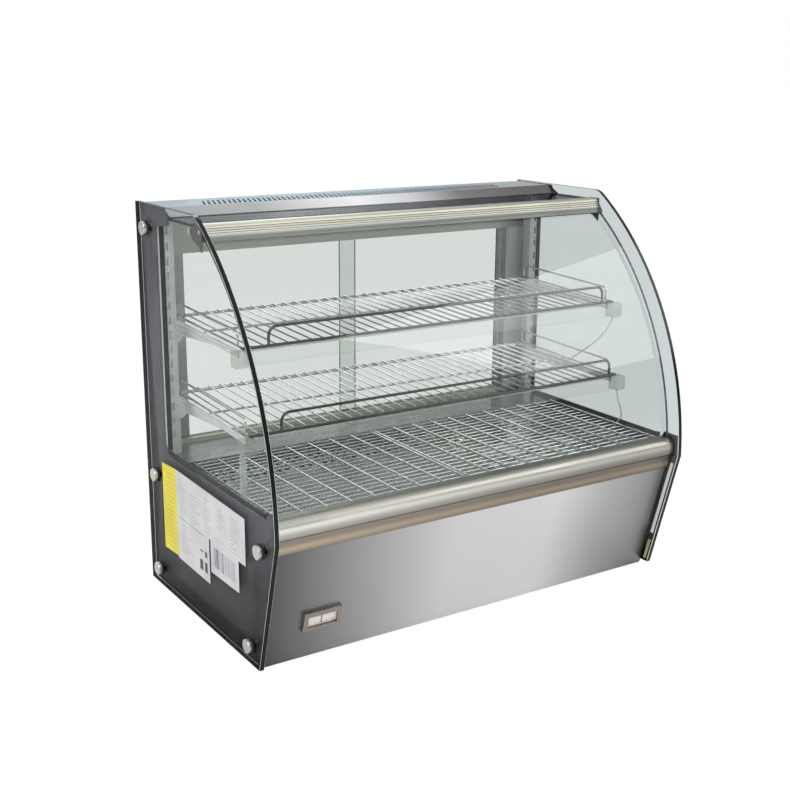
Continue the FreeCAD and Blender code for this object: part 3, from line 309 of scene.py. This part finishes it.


# Painted reflection in bands up the rail, with painted shade in its grooves, dimmed towards the right by
# painted light falloff.
def rail_tone(maker):
    low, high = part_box("front_rail")
    return painted_light_falloff(maker, upward(maker, low[2], high[2], ribbed(scaled(RAIL_TONES, 1.35))), 0.67, 0.45)


def cover_tone(maker):
    """Painted reflection: the flat is bluish and lighter to the right; the sloping fascia goes from pale to
    dark.
    """
    facing_up = maker.split(maker.place.outputs["Normal"])[2]
    flat = maker.maths("GREATER_THAN", facing_up, 0.95)
    return maker.mix(flat, across(maker, -HALF_CASE, HALF_CASE, COVER_TONES),
                     across(maker, -HALF_CASE, HALF_CASE, FLAT_TONES))


def plated_wire(name, front):
    """Plated wire, with a painted dark reflection on the thicker front wires, which are coloured the darkest,
    and darker in random blotches. front is where they start, in Y.
    """
    maker = Maker.material(name)
    depth = maker.split(maker.place.outputs["Object"])[1]
    shelf_depth = 0.27
    # Painted dark reflection: the front wires are coloured darker than the rest of the same plating.
    tone = maker.ramp(maker.span(depth, 0.0, 1.0, front, front + shelf_depth), [
        (0.0, srgb(84, 82, 82)), (0.03, srgb(84, 82, 82)), (0.05, srgb(204, 206, 204)),
        (1.0, srgb(212, 214, 212))])
    cloud = maker.noise(55.0, detail=4.0)
    blotched = maker.mix(maker.span(cloud, 0.0, 0.3, 0.45, 0.75), tone, srgb(90, 90, 88))
    return shaded(maker, Base_Color=blotched, Metallic=1.0,
                  Roughness=maker.span(cloud, 0.09, 0.2, 0.4, 0.7))


def tray_sheet():
    """Thin bright sheet with a slight swell, and painted reflections: near-white highlights and darker grey
    and brown areas, broken up by noise.
    """
    maker = Maker.material("tray_sheet")
    reflection_patches = maker.noise(15.0, (1.6, 0.7, 1), detail=3.0)
    tone = maker.ramp(reflection_patches, [
        (0.0, srgb(96, 102, 104)), (0.4, srgb(122, 128, 130)), (0.46, srgb(168, 160, 144)),
        (0.52, srgb(142, 132, 114)), (0.56, srgb(246, 247, 250)), (0.6, srgb(250, 251, 252)),
        (0.64, srgb(128, 134, 136)), (1.0, srgb(110, 116, 118))])
    waves = maker.bump(maker.noise(16.0, detail=2.0), 1.0, 0.006)
    return shaded(maker, Base_Color=tone, Metallic=0.75, Normal=waves,
                  Roughness=maker.span(reflection_patches, 0.04, 0.14))


def enamel():
    """Dark enamel fired on the inside of the glass, with painted reflection that makes it lighter towards the
    top and painted shade that makes it black along its low edge.
    """
    maker = Maker.material("glass_enamel")
    wide = maker.noise(9.0, detail=2.0)
    base = upward(maker, 0.015, 0.3, [
        (0.0, srgb(8, 7, 7)), (0.1, srgb(9, 8, 8)), (0.14, srgb(44, 42, 45)), (0.25, srgb(58, 55, 59)),
        (0.45, srgb(52, 49, 53)), (0.62, srgb(66, 64, 69)), (0.8, srgb(86, 84, 89)), (1.0, srgb(86, 84, 90))])
    darker = maker.mix(1.0, base, plain(0.7), "MULTIPLY")
    tone = maker.mix(maker.span(wide, 0.0, 0.8, 0.4, 0.65), base, darker)
    return shaded(maker, Base_Color=tone, Specular_IOR_Level=0.05,
                  Roughness=maker.span(wide, 0.3, 0.4, 0.3, 0.7))


def clear_plastic(name, tint, body, milk):
    """Clear moulded plastic: most light goes straight through, with faint streaks and a gloss."""
    maker = Maker.material(name)
    streaks = maker.noise(1.0, (14, 900, 900), detail=3.0)
    fresnel = maker.add("ShaderNodeFresnel", IOR=1.49).outputs[0]
    solid = maker.add("ShaderNodeBsdfPrincipled", Base_Color=body, Roughness=0.22,
                      Normal=maker.bump(streaks, 0.3, 0.0001)).outputs[0]
    through = maker.add("ShaderNodeBsdfTransparent", Color=tint).outputs[0]
    gloss = maker.maths("MULTIPLY", maker.maths("MULTIPLY", fresnel, 0.6), maker.near_side())
    share = maker.maths("ADD", maker.span(streaks, milk * 0.7, milk * 1.5, 0.3, 0.7), gloss)
    return maker.finish(maker.blend(share, through, solid))


DARK_EDGE = (srgb(5, 9, 8), srgb(16, 24, 22))

materials = {
    "stainless": brushed_steel("stainless_sheet", srgb(176, 178, 179), 0.32, "x"),
    "cover": brushed_steel("stainless_cover", cover_tone, 0.34, "x", 0.04),
    "apron": brushed_steel("stainless_apron", apron_tone, 0.36, "x", 0.02),
    "inner": brushed_steel("stainless_deck", srgb(178, 180, 178), 0.2, "x"),
    "upright": brushed_steel("stainless_upright", srgb(196, 197, 195), 0.3, "z", metal=0.5),
    "jamb": brushed_steel("jamb_aluminium", srgb(240, 241, 242), 0.34, "z", metal=0.1),
    "edge": brushed_steel("door_edge_aluminium", srgb(176, 182, 180), 0.3, "z", metal=0.6),
    "arm": brushed_steel("arm_sheet", srgb(204, 207, 208), 0.24, "y", metal=0.6),
    "tray": tray_sheet(),
    "grid": bright_metal("grid_wire", srgb(206, 208, 207), 0.12, 60.0),
    "upper_wire": plated_wire("upper_shelf_wire", -0.088),
    "lower_wire": plated_wire("lower_shelf_wire", -0.108),
    "bolt": brushed_steel("bolt_steel", srgb(208, 206, 204), 0.3, "y"),
    "chrome": bright_metal("boss_chrome", srgb(200, 198, 200), 0.06, 80.0),
    "rail": brushed_steel("rail_aluminium", rail_tone, 0.34, "x", 0.015, long=0.3),
    "track": brushed_steel("track_aluminium", srgb(196, 198, 186), 0.35, "x", metal=0.45),
    "sill": brushed_steel("sill_aluminium", sill_tone, 0.33, "x", 0.03),
    "rubber": moulded("black_rubber", srgb(20, 20, 21), 0.6),
    "plastic": moulded("black_plastic", srgb(28, 28, 29), 0.42),
    "bracket": moulded("bracket_paint", srgb(68, 64, 62), 0.35, 500.0),
    "knob": moulded("knob_plastic", srgb(22, 22, 23), 0.3, 1200.0, 0.00004),
    "marking": moulded("marking_ink", srgb(222, 222, 218), 0.5),
    "heater": bright_metal("heater_sheath", srgb(120, 108, 100), 0.35, 30.0),
    "red": moulded("rocker_red", srgb(178, 30, 26), 0.25, 800.0, 0.00003, 0.4),
    "green": moulded("rocker_green", srgb(28, 120, 50), 0.25, 800.0, 0.00003, 0.4),
    "needle": moulded("needle_red", srgb(150, 62, 50), 0.4),
    "dial": moulded("dial_card", srgb(226, 220, 212), 0.6, 1500.0, 0.00002),
    "tick": moulded("tick_ink", srgb(96, 88, 84), 0.6),
    "bezel": bright_metal("bezel_plating", srgb(160, 152, 142), 0.06, 90.0, 1.0),
    "lead": moulded("lead_sleeve", srgb(206, 208, 200), 0.35, 600.0),
    "baffle": moulded("cover_baffle", srgb(52, 72, 92), 0.5),
    "white_paper": moulded("sticker_paper", srgb(184, 184, 186), 0.5, 1500.0, 0.00002),
    "yellow_paper": moulded("sticker_yellow", srgb(204, 190, 40), 0.5, 1500.0, 0.00002),
    "grey_ink": moulded("sticker_grey_ink", srgb(150, 151, 156), 0.6, 1500.0, 0.00002),
    "black_ink": moulded("sticker_black_ink", srgb(70, 72, 78), 0.6, 1500.0, 0.00002),
    "yellow_ink": moulded("sticker_yellow_ink", srgb(176, 162, 34), 0.6, 1500.0, 0.00002),
    "board": moulded("lamp_board", srgb(196, 202, 196), 0.4),
    "chip": moulded("lamp_chip", srgb(222, 216, 186), 0.3),
    # A pale colour for the painted highlight along the side glass's ground corners.
    "arris_highlight": moulded("glass_arris_highlight", srgb(176, 186, 184), 0.2),
    "strip": moulded("edge_strip", srgb(196, 200, 197), 0.35),
    "brass": moulded("edge_strip_foot", srgb(150, 140, 98), 0.35),
    # The right side glass is tinted darker than the left, though both are the same glass: painted shade.
    "side_left": pane("side_glass_left", plain(0.95, 0.965, 0.96), DARK_EDGE, "x", 0.22),
    "side_right": pane("side_glass_right", plain(0.775, 0.805, 0.808), DARK_EDGE, "x", 0.3),
    "front": pane("front_pane", plain(0.93, 0.942, 0.935),
                  (srgb(30, 52, 46), srgb(90, 120, 110)), "curved", 0.8),
    "door": pane("door_pane", plain(0.862, 0.878, 0.868),
                 (srgb(52, 66, 62), srgb(90, 106, 100)), "y", 0.5),
    "top": pane("top_pane", plain(0.4, 0.45, 0.49), (srgb(20, 30, 34), srgb(50, 66, 70)), "top", 0.4),
    "lens": pane("thermometer_lens", plain(0.98, 0.985, 0.98),
                 (srgb(180, 190, 188), srgb(210, 215, 212)), "y"),
    "enamel": enamel(),
    "diffuser": clear_plastic("lamp_tube", plain(0.975, 0.985, 0.98), srgb(206, 210, 206), 0.07),
    "lamp_end": clear_plastic("lamp_end_plastic", plain(0.86, 0.87, 0.85), srgb(184, 186, 180), 0.16),
    "conduit": clear_plastic("conduit_plastic", plain(0.95, 0.965, 0.955), srgb(220, 226, 222), 0.15),
}

NODE_MATERIALS = {
    "left_side_glass": "side_left", "right_side_glass": "side_right",
    "left_side_print": "enamel", "right_side_print": "enamel",
    "side_bolt_washers": "rubber",
    "base_pan": "stainless", "front_apron": "apron", "base_sill": "sill", "sill_ends": "plastic",
    "deck_pan": "inner", "air_outlet_plate": "inner", "water_tray": "tray", "rubber_feet": "rubber",
    "thermometer_case": "bezel", "thermometer_dial": "dial", "thermometer_needle": "needle",
    "thermometer_lens": "lens", "top_cover": "cover", "cover_gaskets": "rubber", "top_glass": "top",
    "front_glass": "front", "rail_brackets": "bracket", "rail_pivots": "bolt",
    "left_upright": "upright", "right_upright": "upright", "rear_jambs": "jamb", "rear_sill_track": "track",
    "rear_header": "track", "left_door_pane": "door", "right_door_pane": "door",
    "left_door_edge": "edge", "right_door_edge": "edge",
    "upper_shelf": "upper_wire", "lower_shelf": "lower_wire",
    "upper_shelf_arms": "arm", "lower_shelf_arms": "arm",
    "upper_lamp_caps": "lamp_end", "lower_lamp_caps": "lamp_end", "lamp_conduit": "conduit",
    "left_deck_grid": "grid", "right_deck_grid": "grid",
    "blower_frame": "plastic", "blower_rotor": "plastic", "heater_element": "heater",
    "rear_panel": "stainless", "switch_frames": "plastic", "power_rocker": "red", "lamp_rocker": "green",
    "thermostat_body": "plastic", "thermostat_knob": "knob", "cable_gland": "plastic",
}
for node_name, material_name in NODE_MATERIALS.items():
    for holder in nodes[node_name].material_slots:
        holder.material = materials[material_name]

# ---------------------------------------------------------------- finer pieces

# The side glass's two faces, its print's inner face and the rear sheet's outer face, in millimetres from the
# middle. The lean is in degrees.
GLASS_INSIDE, GLASS_OUTSIDE = [corner[0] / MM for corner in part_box("right_side_glass")]
PRINT_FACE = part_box("right_side_print")[0][0] / MM
REAR_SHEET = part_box("rear_panel")[1][1] / MM
APRON_LEAN = 15.03


def shown(name, mesh, names, body="cabinet"):
    """Links a mesh as a piece that rides on a body, with the named materials in order."""
    piece = bpy.data.objects.new(name, mesh)
    bpy.context.scene.collection.objects.link(piece)
    for material_name in names:
        mesh.materials.append(materials[material_name])
    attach(piece, body)
    return piece


def mesh_of(builder, name, smooth_angle=35.0):
    """Turns a bmesh into a mesh whose edges stay sharp above the angle, in degrees."""
    mesh = bpy.data.meshes.new(name)
    bmesh.ops.recalc_face_normals(builder, faces=builder.faces)
    for edge in builder.edges:
        edge.smooth = len(edge.link_faces) == 2 and edge.calc_face_angle() < math.radians(smooth_angle)
    for face in builder.faces:
        face.smooth = True
    builder.to_mesh(mesh)
    builder.free()
    return mesh


def prism(builder, outline, low, high, slot=0):
    """Adds a solid with a (y, z) outline in millimetres between two x planes."""
    ends = [[builder.verts.new((x * MM, y * MM, z * MM)) for y, z in outline] for x in (low, high)]
    faces = [builder.faces.new(ends[0][::-1]), builder.faces.new(ends[1])]
    for index in range(len(outline)):
        following = (index + 1) % len(outline)
        faces.append(builder.faces.new((ends[0][index], ends[0][following],
                                        ends[1][following], ends[1][index])))
    for face in faces:
        face.material_index = slot


def block(builder, low, high, slot=0):
    """Adds a box between two corners in millimetres."""
    outline = [(low[1], low[2]), (high[1], low[2]), (high[1], high[2]), (low[1], high[2])]
    prism(builder, outline, low[0], high[0], slot)


def lathe(builder, profile, place, axis="x", steps=32):
    """Adds a turned solid. The profile is (along, radius) pairs in millimetres, from tip to tip."""
    rings = []
    for along, radius in profile:
        ring = []
        for step in range(steps):
            angle = 2 * math.pi * step / steps
            wide = radius * math.cos(angle)
            tall = radius * math.sin(angle)
            point = (along, wide, tall) if axis == "x" else (wide, along, tall)
            ring.append(builder.verts.new([(a + b) * MM for a, b in zip(point, place)]))
        rings.append(ring)
    builder.faces.new(rings[0])
    builder.faces.new(rings[-1])
    for first, second in zip(rings, rings[1:]):
        for step in range(steps):
            following = (step + 1) % steps
            builder.faces.new((first[step], first[following], second[following], second[step]))


def front_rail():
    """The ribbed aluminium beam over the front glass, with a lip that grips the glass."""
    # Three grooves run along the sloping face, which starts at this corner.
    corner = (-3.6, 704.6)
    along = (-0.5576, -0.8301)
    inward = (0.83, -0.5576)
    outline = [(-1, 708), (-3.4, 705.4), corner]
    for reach in (3.8, 8.0, 12.2):
        for step, depth in ((0, 0), (0.15, 0.9), (0.85, 0.9), (1.0, 0)):
            outline.append(tuple(start + slope * (reach + step) + dip * depth
                                 for start, slope, dip in zip(corner, along, inward)))
    outline += [(-13.2, 690), (-14.8, 688.6), (-18.4, 682), (-17.8, 680.4), (-15.3, 680.3),
                (-9.2, 684.9), (-2.8, 689.7), (0.8, 685.1), (-5.7, 680.1), (-5, 679.5),
                (14, 679.5), (16.4, 680.6), (17, 683), (17, 704), (15.6, 706.9), (12, 708)]
    builder = bmesh.new()
    low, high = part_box("front_rail")
    prism(builder, outline, low[0] / MM, high[0] / MM)
    rail = shown("front_rail_extrusion", mesh_of(builder, "front_rail_extrusion", 25), ["rail"],
                 "front_glass")
    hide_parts("front_rail")


# (y, z) in millimetres, the same on both sides.
BOLT_PLACES = [(209, 680), (209, 231), (209, 48), (-208, 226), (-163, 48)]


def side_bolts():
    """Turned heads with a rounded rim and a faint centre mark, each on a shank through the glass."""
    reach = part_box("side_bolts")[1][0] / MM
    seat = reach - 7
    profile = [(PRINT_FACE - 0.6, 5), (seat, 5), (seat, 11.2), (seat + 0.6, 12), (reach - 1.4, 12),
               (reach - 0.5, 11.6), (reach, 10.6), (reach - 0.15, 9.8), (reach - 0.05, 9.2), (reach, 1.2),
               (reach - 0.2, 0.7)]
    builder = bmesh.new()
    for side in (-1, 1):
        for y, z in BOLT_PLACES:
            lathe(builder, [(along * side, radius) for along, radius in profile], (0, y, z))
    bolts = shown("side_bolt_heads", mesh_of(builder, "side_bolt_heads"), ["bolt"])
    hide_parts("side_bolts")


def marks(builder, face, place, size, slot):
    """A flat printed mark on the left glass's stickers, at (y, z) with its size in y and z."""
    block(builder, (face - 0.05, place[0], place[1]), (face, place[0] + size[0], place[1] + size[1]), slot)


def side_stickers():
    """Three stickers: a yellow strip, a data sheet and a small one, with rules and bars and no words."""
    rng = random.Random(7)
    low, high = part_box("side_stickers")
    outer = low[0] / MM + 0.05
    back = high[0] / MM
    outlines = [
        [(184, 99), (184, 261), (123.2, 265), (123.2, 102)],
        [(123, 99), (123, 265), (-151, 261), (-151, 180), (-11, 180), (-11, 97)],
        [(-17, 122), (-17, 179.8), (-125, 179.8), (-125, 124)],
    ]
    builder = bmesh.new()
    for slot, outline in zip((1, 0, 0), outlines):
        prism(builder, outline, outer, back, slot)
    for row in range(17):
        marks(builder, outer, (176 - rng.uniform(34, 44), 110 + row * 8.6), (rng.uniform(30, 36), 1.6), 4)
    columns = ((112, 34, 12, 250), (62, 40, 9, 236), (8, 36, 10, 246), (-48, 30, 6, 244), (-96, 34, 9, 246))
    for start, wide, rows, top in columns:
        for row in range(rows):
            length = rng.uniform(0.35, 1.0) * wide
            marks(builder, outer, (start - length, top - row * 6.4), (length, 1.5), 2)
    for row in range(9):
        length = rng.uniform(20, 58)
        marks(builder, outer, (104 - length, 168 - row * 6.2), (length, 1.3), 2)
    for place, size in (((-2, 112), (11, 19)), ((16, 112), (13, 19)),
                        ((-2, 140), (9, 11)), ((14, 146), (13, 3))):
        marks(builder, outer, place, size, 3)
    marks(builder, outer, (-2, 178), (118, 0.8), 3)
    marks(builder, outer, (-142, 188), (122, 0.8), 2)
    y = -28.0
    while y > -112:
        wide = rng.choice((1.2, 2.0, 2.8, 3.6))
        marks(builder, outer, (y - wide, 136), (wide, 36), 5 if rng.random() < 0.7 else 3)
        y -= wide + rng.choice((1.4, 2.2, 3.0))
    stickers = shown("side_sticker_sheets", mesh_of(builder, "side_sticker_sheets"),
                     ["white_paper", "yellow_paper", "grey_ink", "black_ink", "yellow_ink", "grey_ink"])
    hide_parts("side_stickers")


def seals():
    """Black rubber: beside the deck, at the apron's ends and behind the uprights."""
    builder = bmesh.new()
    face = PRINT_FACE - 0.1
    cabinet_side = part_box("base_pan")[1][0] / MM
    deck = [(-206, 276.2), (173.5, 276.2), (173.5, 281.6), (172, 283), (-196, 283), (-200, 284.4),
            (-206, 284.8)]
    apron = [(-229.4, 222), (-227.6, 222), (-169.9, 6.5), (-171.7, 6.5)]
    post = [(172.2, 284), (173.8, 284), (173.8, 690), (172.2, 690)]
    for side in (-1, 1):
        for outline, low, high in ((deck, cabinet_side - 4.1, cabinet_side - 0.1),
                                   (apron, cabinet_side + 0.05, face), (post, face - 8.5, face)):
            prism(builder, outline, *sorted((side * low, side * high)))
    seal = shown("cabinet_seals", mesh_of(builder, "cabinet_seals"), ["rubber"])


def edge_strips():
    """A pale strip with a darker foot inside each side glass, between the apron and the glass's edge."""
    builder = bmesh.new()
    face = PRINT_FACE - 0.05

    def glass_edge(z):
        """Where the straight lower part of the glass's front edge is, in Y."""
        return -192 - (z - 14) * 0.2657

    for side in (-1, 1):
        spans = sorted((side * (face - 0.6), side * face))
        for slot, (low, high) in enumerate(((78, 232), (20, 62))):
            outline = [(glass_edge(low) + 5, low), (glass_edge(low) + 12, low),
                       (glass_edge(high) + 12, high), (glass_edge(high) + 5, high)]
            prism(builder, outline, *spans, slot)
    shown("side_edge_strips", mesh_of(builder, "side_edge_strips"), ["strip", "brass"])


def arris_highlight_tubes():
    """Painted highlight: pale tubes along the ground corners at the front edge of each side glass, where they
    catch the light.
    """
    # The edge is straight below and an arc about this centre above.
    centre, radius = (322, 241), 576.5
    bottom, top, steps = 250, 712, 32
    points = [(-191.8, 14.3), (-254.2, 247.9)]
    for step in range(steps + 1):
        z = bottom + (top - bottom) * step / steps
        points.append((centre[0] - math.sqrt(radius ** 2 - (z - centre[1]) ** 2) + 0.15, z))
    reach = 0.35
    builder = bmesh.new()
    for side in (-1, 1):
        for x in (GLASS_INSIDE + 0.1, GLASS_OUTSIDE - 0.1):
            previous = None
            for y, z in points:
                ring = [builder.verts.new(((side * x + across_x) * MM, (y + across_y) * MM, z * MM))
                        for across_x, across_y in ((-reach, 0), (0, -reach), (reach, 0), (0, reach))]
                if previous:
                    for corner in range(4):
                        following = (corner + 1) % 4
                        builder.faces.new((previous[corner], previous[following],
                                           ring[following], ring[corner]))
                else:
                    builder.faces.new(ring[::-1])
                previous = ring
            builder.faces.new(previous)
    shown("side_glass_arris_highlights", mesh_of(builder, "side_glass_arris_highlights", 60), ["arris_highlight"])


def lamp_tubes():
    """One clear bar for each lamp, with a narrow board and its row of light chips inside."""
    for name in ("upper_lamp", "lower_lamp"):
        low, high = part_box(name + "_cover")
        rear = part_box(name + "_channel")[1][1] / MM
        left, right = low[0] / MM, high[0] / MM
        front, foot, top = low[1] / MM, low[2] / MM, high[2] / MM
        builder = bmesh.new()
        outline = [(rear, foot), (rear, top), (front + 4, top), (front + 1.2, top - 1.2), (front, top - 4),
                   (front, foot + 4), (front + 1.2, foot + 1.2), (front + 4, foot)]
        prism(builder, outline, left, right)
        tube = shown(name + "_tube", mesh_of(builder, name + "_tube", 50), ["diffuser"])
        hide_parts(name + "_cover", name + "_channel")
        centre = top - 2.4
        back = rear - 1.4
        builder = bmesh.new()
        block(builder, (left + 2, back - 0.6, centre - 1.5), (right - 2, back, centre + 1.5))
        for x in range(-376, 377, 16):
            block(builder, (x - 1.2, back - 1.3, centre - 1.0), (x + 1.2, back - 0.5, centre + 1.0), 1)
        strip = shown(name + "_board", mesh_of(builder, name + "_board"), ["board", "chip"])


def dial_ticks():
    """Scale ticks on the thermometer's dial, leaned with the apron."""
    builder = bmesh.new()
    low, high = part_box("thermometer_dial")
    centre = [(a + b) / 2 for a, b in zip(low, high)]
    for index in range(13):
        tall = 3.4 if index % 3 == 0 else 2.0
        x = centre[0] / MM - 21 + 3.5 * index
        block(builder, (x - 0.2, -0.55, 4.6), (x + 0.2, -0.45, 4.6 + tall))
        if index % 3 == 0:
            block(builder, (x - 0.9, -0.55, -8.4), (x + 0.9, -0.45, -6.6))
    turn = Matrix.Rotation(math.radians(APRON_LEAN), 4, "X")
    shift = Matrix.Translation((0, centre[1], centre[2]))
    bmesh.ops.transform(builder, matrix=shift @ turn, verts=builder.verts)
    ticks = shown("thermometer_ticks", mesh_of(builder, "thermometer_ticks"), ["tick"])


def bracket_bosses():
    """A chromed boss on each rail bracket, and pan heads on the rear sheet and the header."""
    builder = bmesh.new()
    plate = PRINT_FACE + 0.1
    profile = [(plate, 6.4), (plate - 2.4, 7), (plate - 3.2, 5.2), (plate - 5, 5.4), (plate - 6, 6.6),
               (plate - 9, 6.4), (plate - 10.5, 4.6), (plate - 10.6, 2)]
    for side in (-1, 1):
        lathe(builder, [(along * side, radius) for along, radius in profile], (0, 47, 691.5))
    head = [(-0.6, 3.6), (0.4, 3.6), (1.4, 3.0), (1.9, 1.6), (1.5, 1.5), (1.5, 0.3)]
    for x in (-405, -200, 0, 200, 405):
        for z in (18, 246):
            lathe(builder, head, (x, REAR_SHEET, z), "y", 20)
    header_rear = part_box("rear_header")[1][1] / MM
    for x in (-400, -134, 134, 400):
        lathe(builder, head, (x, header_rear, 668), "y", 20)
    bosses = shown("bracket_bosses_and_screws", mesh_of(builder, "bracket_bosses_and_screws"), ["chrome"])


def cover_baffle():
    """The sheet that shows through the cover's vents."""
    low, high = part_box("top_cover")
    builder = bmesh.new()
    outline = [(156, 713.2), (206, 713.2), (209, 715), (209, 716.2), (205, 714.4), (157, 714.4),
               (154, 716.2), (153, 715)]
    prism(builder, outline, low[0] / MM + 6, high[0] / MM - 6)
    shown("cover_vent_baffle", mesh_of(builder, "cover_vent_baffle"), ["baffle"])


def knob_scale():
    """Ticks round the thermostat knob, and a pointer line on its grip."""
    low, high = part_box("thermostat_knob")
    centre = ((low[0] + high[0]) / 2 / MM, (low[2] + high[2]) / 2 / MM)
    builder = bmesh.new()
    for index in range(11):
        angle = math.radians(225 - 27 * index)
        along = Vector((math.cos(angle), 0, math.sin(angle)))
        side = Vector((-math.sin(angle), 0, math.cos(angle)))
        middle = Vector((centre[0], REAR_SHEET + 0.06, centre[1])) + along * 25
        long = 3.2 if index % 5 == 0 else 2.0
        corners = []
        for depth in (0.0, 0.12):
            for a, b in ((-1, -1), (1, -1), (1, 1), (-1, 1)):
                corner = middle + along * (a * long) + side * (b * 0.5) + Vector((0, depth, 0))
                corners.append(builder.verts.new(corner * MM))
        for quad in ((0, 1, 2, 3), (4, 5, 6, 7), (0, 1, 5, 4), (1, 2, 6, 5), (2, 3, 7, 6), (3, 0, 4, 7)):
            builder.faces.new([corners[i] for i in quad])
    scale = shown("thermostat_scale", mesh_of(builder, "thermostat_scale"), ["marking"])
    builder = bmesh.new()
    reach = high[1] / MM
    block(builder, (centre[0] - 0.7, reach - 0.02, centre[1] + 2),
          (centre[0] + 0.7, reach + 0.15, centre[1] + 13))
    pointer = shown("thermostat_pointer", mesh_of(builder, "thermostat_pointer"), ["marking"],
                    "thermostat_knob")


# Each lead's route repeats the one in the CAD source, in millimetres.
UPPER_LEAD = [(398, -82, 489.1), (398, -80, 478), (400, -46, 438), (401, 8, 400), (402, 60, 366),
              (403, 108, 343), (404, 150, 333), (405, 173.7, 332)]
LOWER_LEAD = [(398, -104, 349.1), (400, -104.5, 332), (408, -107, 310), (416, -104, 290), (417, -88, 273),
              (417, -80, 261)]


def lamp_lead(name, node, route):
    """A thin sleeved lead that hangs from its lamp and goes back into the cabinet."""
    radius = 0.0016
    curve = bpy.data.curves.new(name, "CURVE")
    curve.dimensions = "3D"
    curve.bevel_depth = radius
    curve.bevel_resolution = 4
    curve.use_fill_caps = True
    spline = curve.splines.new("NURBS")
    spline.points.add(len(route) - 1)
    for point, place in zip(spline.points, route):
        point.co = (*[value * MM for value in place], 1)
    spline.order_u = 3
    spline.use_endpoint_u = True
    spline.resolution_u = 10
    curve.materials.append(materials["lead"])
    lead = bpy.data.objects.new(name, curve)
    bpy.context.scene.collection.objects.link(lead)
    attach(lead, "cabinet")
    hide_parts(node)


front_rail()
side_bolts()
side_stickers()
seals()
edge_strips()
arris_highlight_tubes()
lamp_tubes()
dial_ticks()
bracket_bosses()
cover_baffle()
knob_scale()
lamp_lead("upper_lead", "upper_lamp_lead", UPPER_LEAD)
lamp_lead("lower_lead", "lower_lamp_lead", LOWER_LEAD)

# ---------------------------------------------------------------- stage, light and camera


def stage_floor():
    """Pale floor. It glows white to the camera, so it shows no shadow, and is a little dimmer in mirrors."""
    mesh = bpy.data.meshes.new("studio_floor")
    side = 40.0
    corners = [(-side, -side, 0), (side, -side, 0), (side, side, 0), (-side, side, 0)]
    mesh.from_pydata(corners, [], [(0, 1, 2, 3)])
    floor = bpy.data.objects.new("studio_floor", mesh)
    bpy.context.scene.collection.objects.link(floor)
    maker = Maker.material("floor_paint")
    cloud = maker.noise(0.8, detail=2.0)
    tone = maker.mix(cloud, plain(0.86), plain(0.9))
    path = maker.add("ShaderNodeLightPath")
    mirrored = path.outputs["Is Glossy Ray"]
    seen = path.outputs["Is Camera Ray"]
    tone = maker.mix(mirrored, tone, plain(0.72))
    tone = maker.mix(seen, tone, plain(0.05))
    glow = maker.maths("ADD", maker.span(mirrored, 0.22, 0.0), maker.span(seen, 0.0, 0.75))
    floor.data.materials.append(shaded(maker, Base_Color=tone, Roughness=0.9, Specular_IOR_Level=0.0,
                                       Emission_Color=plain(1), Emission_Strength=glow))


def studio_world():
    """Pale behind the case, and for mirrors a soft box overhead over a dimmer horizon."""
    world = bpy.data.worlds.new("studio")
    bpy.context.scene.world = world
    maker = Maker(world, "ShaderNodeOutputWorld")
    height = maker.split(maker.place.outputs["Generated"])[2]
    levels = ((0.0, 0.62), (0.12, 0.56), (0.28, 0.48), (0.5, 0.8), (0.75, 1.25), (1.0, 1.35))
    sky = maker.ramp(height, [(position, plain(level, level, level * 1.01)) for position, level in levels])
    room = maker.add("ShaderNodeBackground", Color=sky, Strength=0.8).outputs[0]
    pale = maker.add("ShaderNodeBackground", Color=plain(1), Strength=1.0).outputs[0]
    seen = maker.add("ShaderNodeLightPath").outputs["Is Camera Ray"]
    maker.finish(maker.blend(seen, room, pale))


def area_light(name, place, aim, size, power):
    data = bpy.data.lights.new(name, "AREA")
    data.shape = "RECTANGLE"
    data.size = size[0]
    data.size_y = size[1]
    data.energy = power
    light = bpy.data.objects.new(name, data)
    light.location = place
    light.rotation_euler = (Vector(aim) - Vector(place)).to_track_quat("-Z", "Y").to_euler()
    bpy.context.scene.collection.objects.link(light)


def camera():
    data = bpy.data.cameras.new("main_camera")
    data.sensor_width = 36.0
    data.lens = 55.64
    data.clip_end = 100.0
    camera_object = bpy.data.objects.new("main_camera", data)
    place = Vector((-1.2137, -1.7973, 0.9574))
    aim = Vector((-0.0577, -0.0135, 0.3798))
    roll = math.radians(0.4257)
    forward = (aim - place).normalized()
    right = forward.cross(Vector((0, 0, 1))).normalized()
    up = right.cross(forward)
    right_rolled = right * math.cos(roll) + up * math.sin(roll)
    up_rolled = up * math.cos(roll) - right * math.sin(roll)
    turn = Matrix((right_rolled, up_rolled, -forward)).transposed().to_4x4()
    camera_object.matrix_world = Matrix.Translation(place) @ turn
    bpy.context.scene.collection.objects.link(camera_object)
    bpy.context.scene.camera = camera_object


stage_floor()
studio_world()
area_light("key_light", (-2.4, -2.2, 3.2), (0, 0, 0.3), (2.2, 2.2), 90)
area_light("fill_light", (2.6, -1.8, 2.2), (0, 0, 0.3), (2.0, 2.0), 40)
area_light("rear_light", (0.4, 2.8, 2.6), (0, 0, 0.3), (2.6, 1.6), 45)
camera()
bpy.context.scene.view_settings.view_transform = "Standard"
